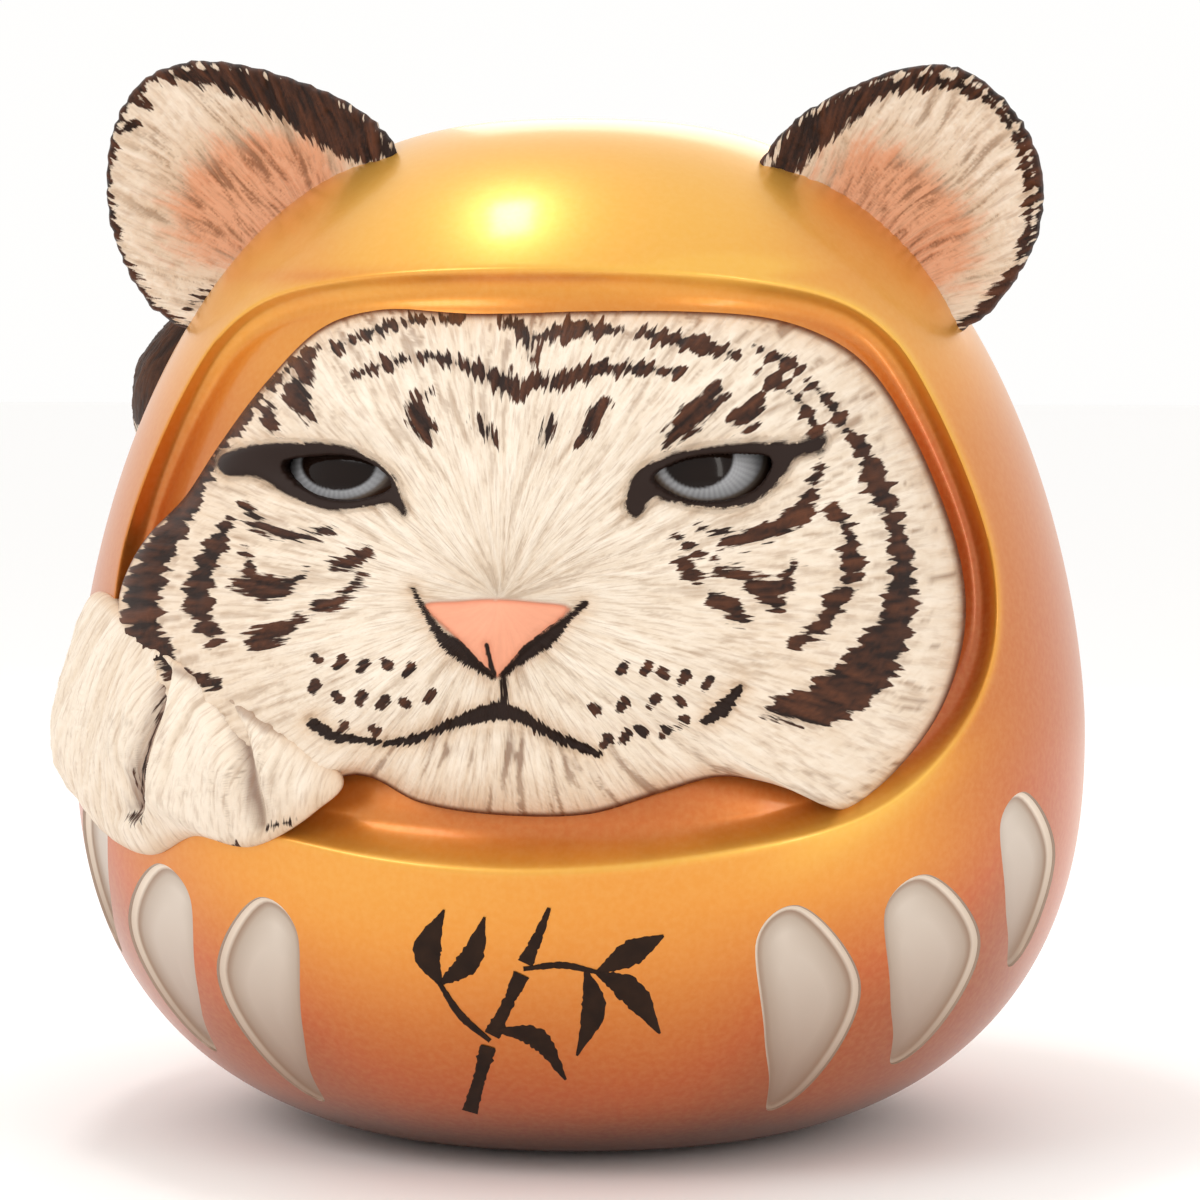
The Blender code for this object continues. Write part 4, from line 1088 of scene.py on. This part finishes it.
# ---- brush sprig on the belly
# A bamboo sprig of the builder's own in place of any writing: (across, up, width) strokes.
SPRIG = [
    [(-12, 0.5, 1.8), (-11, 4, 1.5), (-10, 7.6, 2.0)],
    [(-9.6, 8.8, 2.0), (-8, 12, 1.4), (-6.4, 15.4, 1.9)],
    [(-6, 16.6, 1.9), (-4.6, 19.6, 1.2), (-3.4, 22.6, 0.5)],
    [(-9.8, 8.2, 0.5), (-13, 11, 0.9), (-15.4, 14.6, 0.5)],
    [(-15.2, 14.4, 0.6), (-16.6, 18, 3.2), (-14.8, 22.4, 0.3)],
    [(-15.2, 14.4, 0.6), (-12, 17, 2.8), (-10.4, 21.6, 0.3)],
    [(-6.2, 16, 0.5), (-2, 16.4, 0.8), (2, 15.6, 0.5)],
    [(1.8, 15.6, 0.6), (5.6, 17.8, 3.0), (9, 19.6, 0.3)],
    [(1.8, 15.6, 0.6), (5.6, 13.4, 3.2), (8.6, 9, 0.3)],
    [(0.6, 15.8, 0.6), (1.4, 11.6, 2.8), (-0.4, 6.6, 0.3)],
    [(-9, 9.4, 0.5), (-4.6, 8.4, 2.4), (-1.6, 4, 0.3)],
]


def build_sprig(material):
    """Each stroke is a strip that follows the body, with its long edges sunk into the lacquer."""
    columns = 9
    verts, faces = [], []
    first = 0
    for stroke in SPRIG:
        path = smooth_path(stroke, steps=14)
        heading = np.gradient(path[:, :2], axis=0)
        heading /= np.linalg.norm(heading, axis=1)[:, None]
        aside = np.column_stack([-heading[:, 1], heading[:, 0]])
        count = len(path)
        ragged = 1 + 0.07 * rng.normal(size=(count, 1))
        for rank, share in enumerate(np.linspace(-0.5, 0.5, columns)):
            lift = 0.1 if 0 < rank < columns - 1 else -0.05
            verts.append(under_picture(path[:, :2] + aside * path[:, 2:3] * share * ragged, lift))
        for column in range(columns - 1):
            for i in range(count - 1):
                a = first + column * count + i
                faces.append((a, a + 1, a + count + 1, a + count))
        first += columns * count
    return add_piece("brush_sprig", np.vstack(verts), faces, (material,))


# ---- build
gold = gold_material()
silver = silver_material()
fur = fur_material("tiger_fur")
ear_fur = fur_material("tiger_ear_fur")
tail_fur = fur_material("tiger_tail_fur", (46, 28, 18), (88, 54, 34))
enamel = eye_material()
ink_paint = plain_material("sprig_ink", (30, 16, 8), (44, 26, 14), 0.0, 0.6, 500.0, Specular_IOR_Level=0.15)


def place_piece(obj, slot, *nodes):
    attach(obj, "root")
    if nodes:
        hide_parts(*nodes)


body = build_body(gold, silver)
paint_light_on_body(body)
place_piece(body, "gold", "shell_front", "shell_rear")
place_piece(build_head(fur), "white_fur", "head")
for name, node, middle, pupil, iris in EYES:
    place_piece(build_eye(name, middle, pupil, iris, enamel), "eye", node)
place_piece(build_ear("tiger_ear_right", EAR_RIGHT, -1, ear_fur), "ear_fur", "ear_right")
place_piece(build_ear("tiger_ear_left", EAR_LEFT, 1, ear_fur), "ear_fur", "ear_left")
place_piece(build_paw(fur), "white_fur", "paw")
place_piece(build_tail(tail_fur), "tail_fur", "tail")
place_piece(build_sprig(ink_paint), "gold")

steel = plain_material("pin_steel", (150, 150, 152), (196, 196, 198), 1.0, 0.34, 900.0)
iron = plain_material("ballast_iron", (70, 68, 66), (104, 100, 96), 0.8, 0.6, 260.0)
plate = plain_material("plate_resin", (112, 74, 40), (138, 94, 54), 0.1, 0.5, 320.0)
felt = plain_material("pad_felt", (62, 40, 28), (92, 62, 44), 0.0, 0.95, 1800.0)
finishes = {"base_plate": plate, "foot_pad": felt, "ballast": iron}
for node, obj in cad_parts.items():
    finish = finishes.get(node, steel)
    if obj.data.materials:
        for index in range(len(obj.data.materials)):
            obj.data.materials[index] = finish
    else:
        obj.data.materials.append(finish)


# ---- studio
def area_light(name, place, size, power, colour=(1, 1, 1), target=(0, 0, 55)):
    light = bpy.data.lights.new(name, "AREA")
    light.shape = "RECTANGLE"
    light.size, light.size_y = size[0] * MM, size[1] * MM
    light.energy = power
    light.color = colour
    obj = bpy.data.objects.new(name, light)
    obj.location = Vector(place) * MM
    obj.rotation_euler = (Vector(target) - Vector(place)).to_track_quat("-Z", "Y").to_euler()
    bpy.context.scene.collection.objects.link(obj)


area_light("top_box", (-85, 0, 470), (90, 50), 0.3)
area_light("key_box", (-260, -330, 330), (220, 160), 0.42)
area_light("strip_box", (330, -300, 190), (36, 280), 0.22, (1.0, 0.96, 0.9))
area_light("rear_box", (60, 400, 260), (320, 160), 0.25)

world = bpy.data.worlds.new("studio")
world.use_nodes = True
bpy.context.scene.world = world
sky = world.node_tree.nodes["Background"].inputs
sky["Color"].default_value = (1.0, 0.995, 0.985, 1.0)
sky["Strength"].default_value = 1.0

bpy.ops.mesh.primitive_plane_add(size=6.0, location=(0, 0, 0))
floor = bpy.context.object
floor.name = "floor"
floor.data.materials.append(Shade("floor_paper").finish((*linear(253, 252, 251), 1.0), Roughness=0.9))

camera_data = bpy.data.cameras.new("camera")
camera_data.lens = LENS
camera_data.sensor_width = 36.0
camera_data.clip_start = 0.01
camera = bpy.data.objects.new("camera", camera_data)
turn = Matrix((RIGHT, UP, TO_CAMERA)).transposed().to_4x4()
camera.matrix_world = Matrix.Translation(Vector(VIEWPOINT) * MM) @ turn
bpy.context.scene.collection.objects.link(camera)
bpy.context.scene.camera = camera
bpy.context.scene.view_settings.view_transform = "Standard"
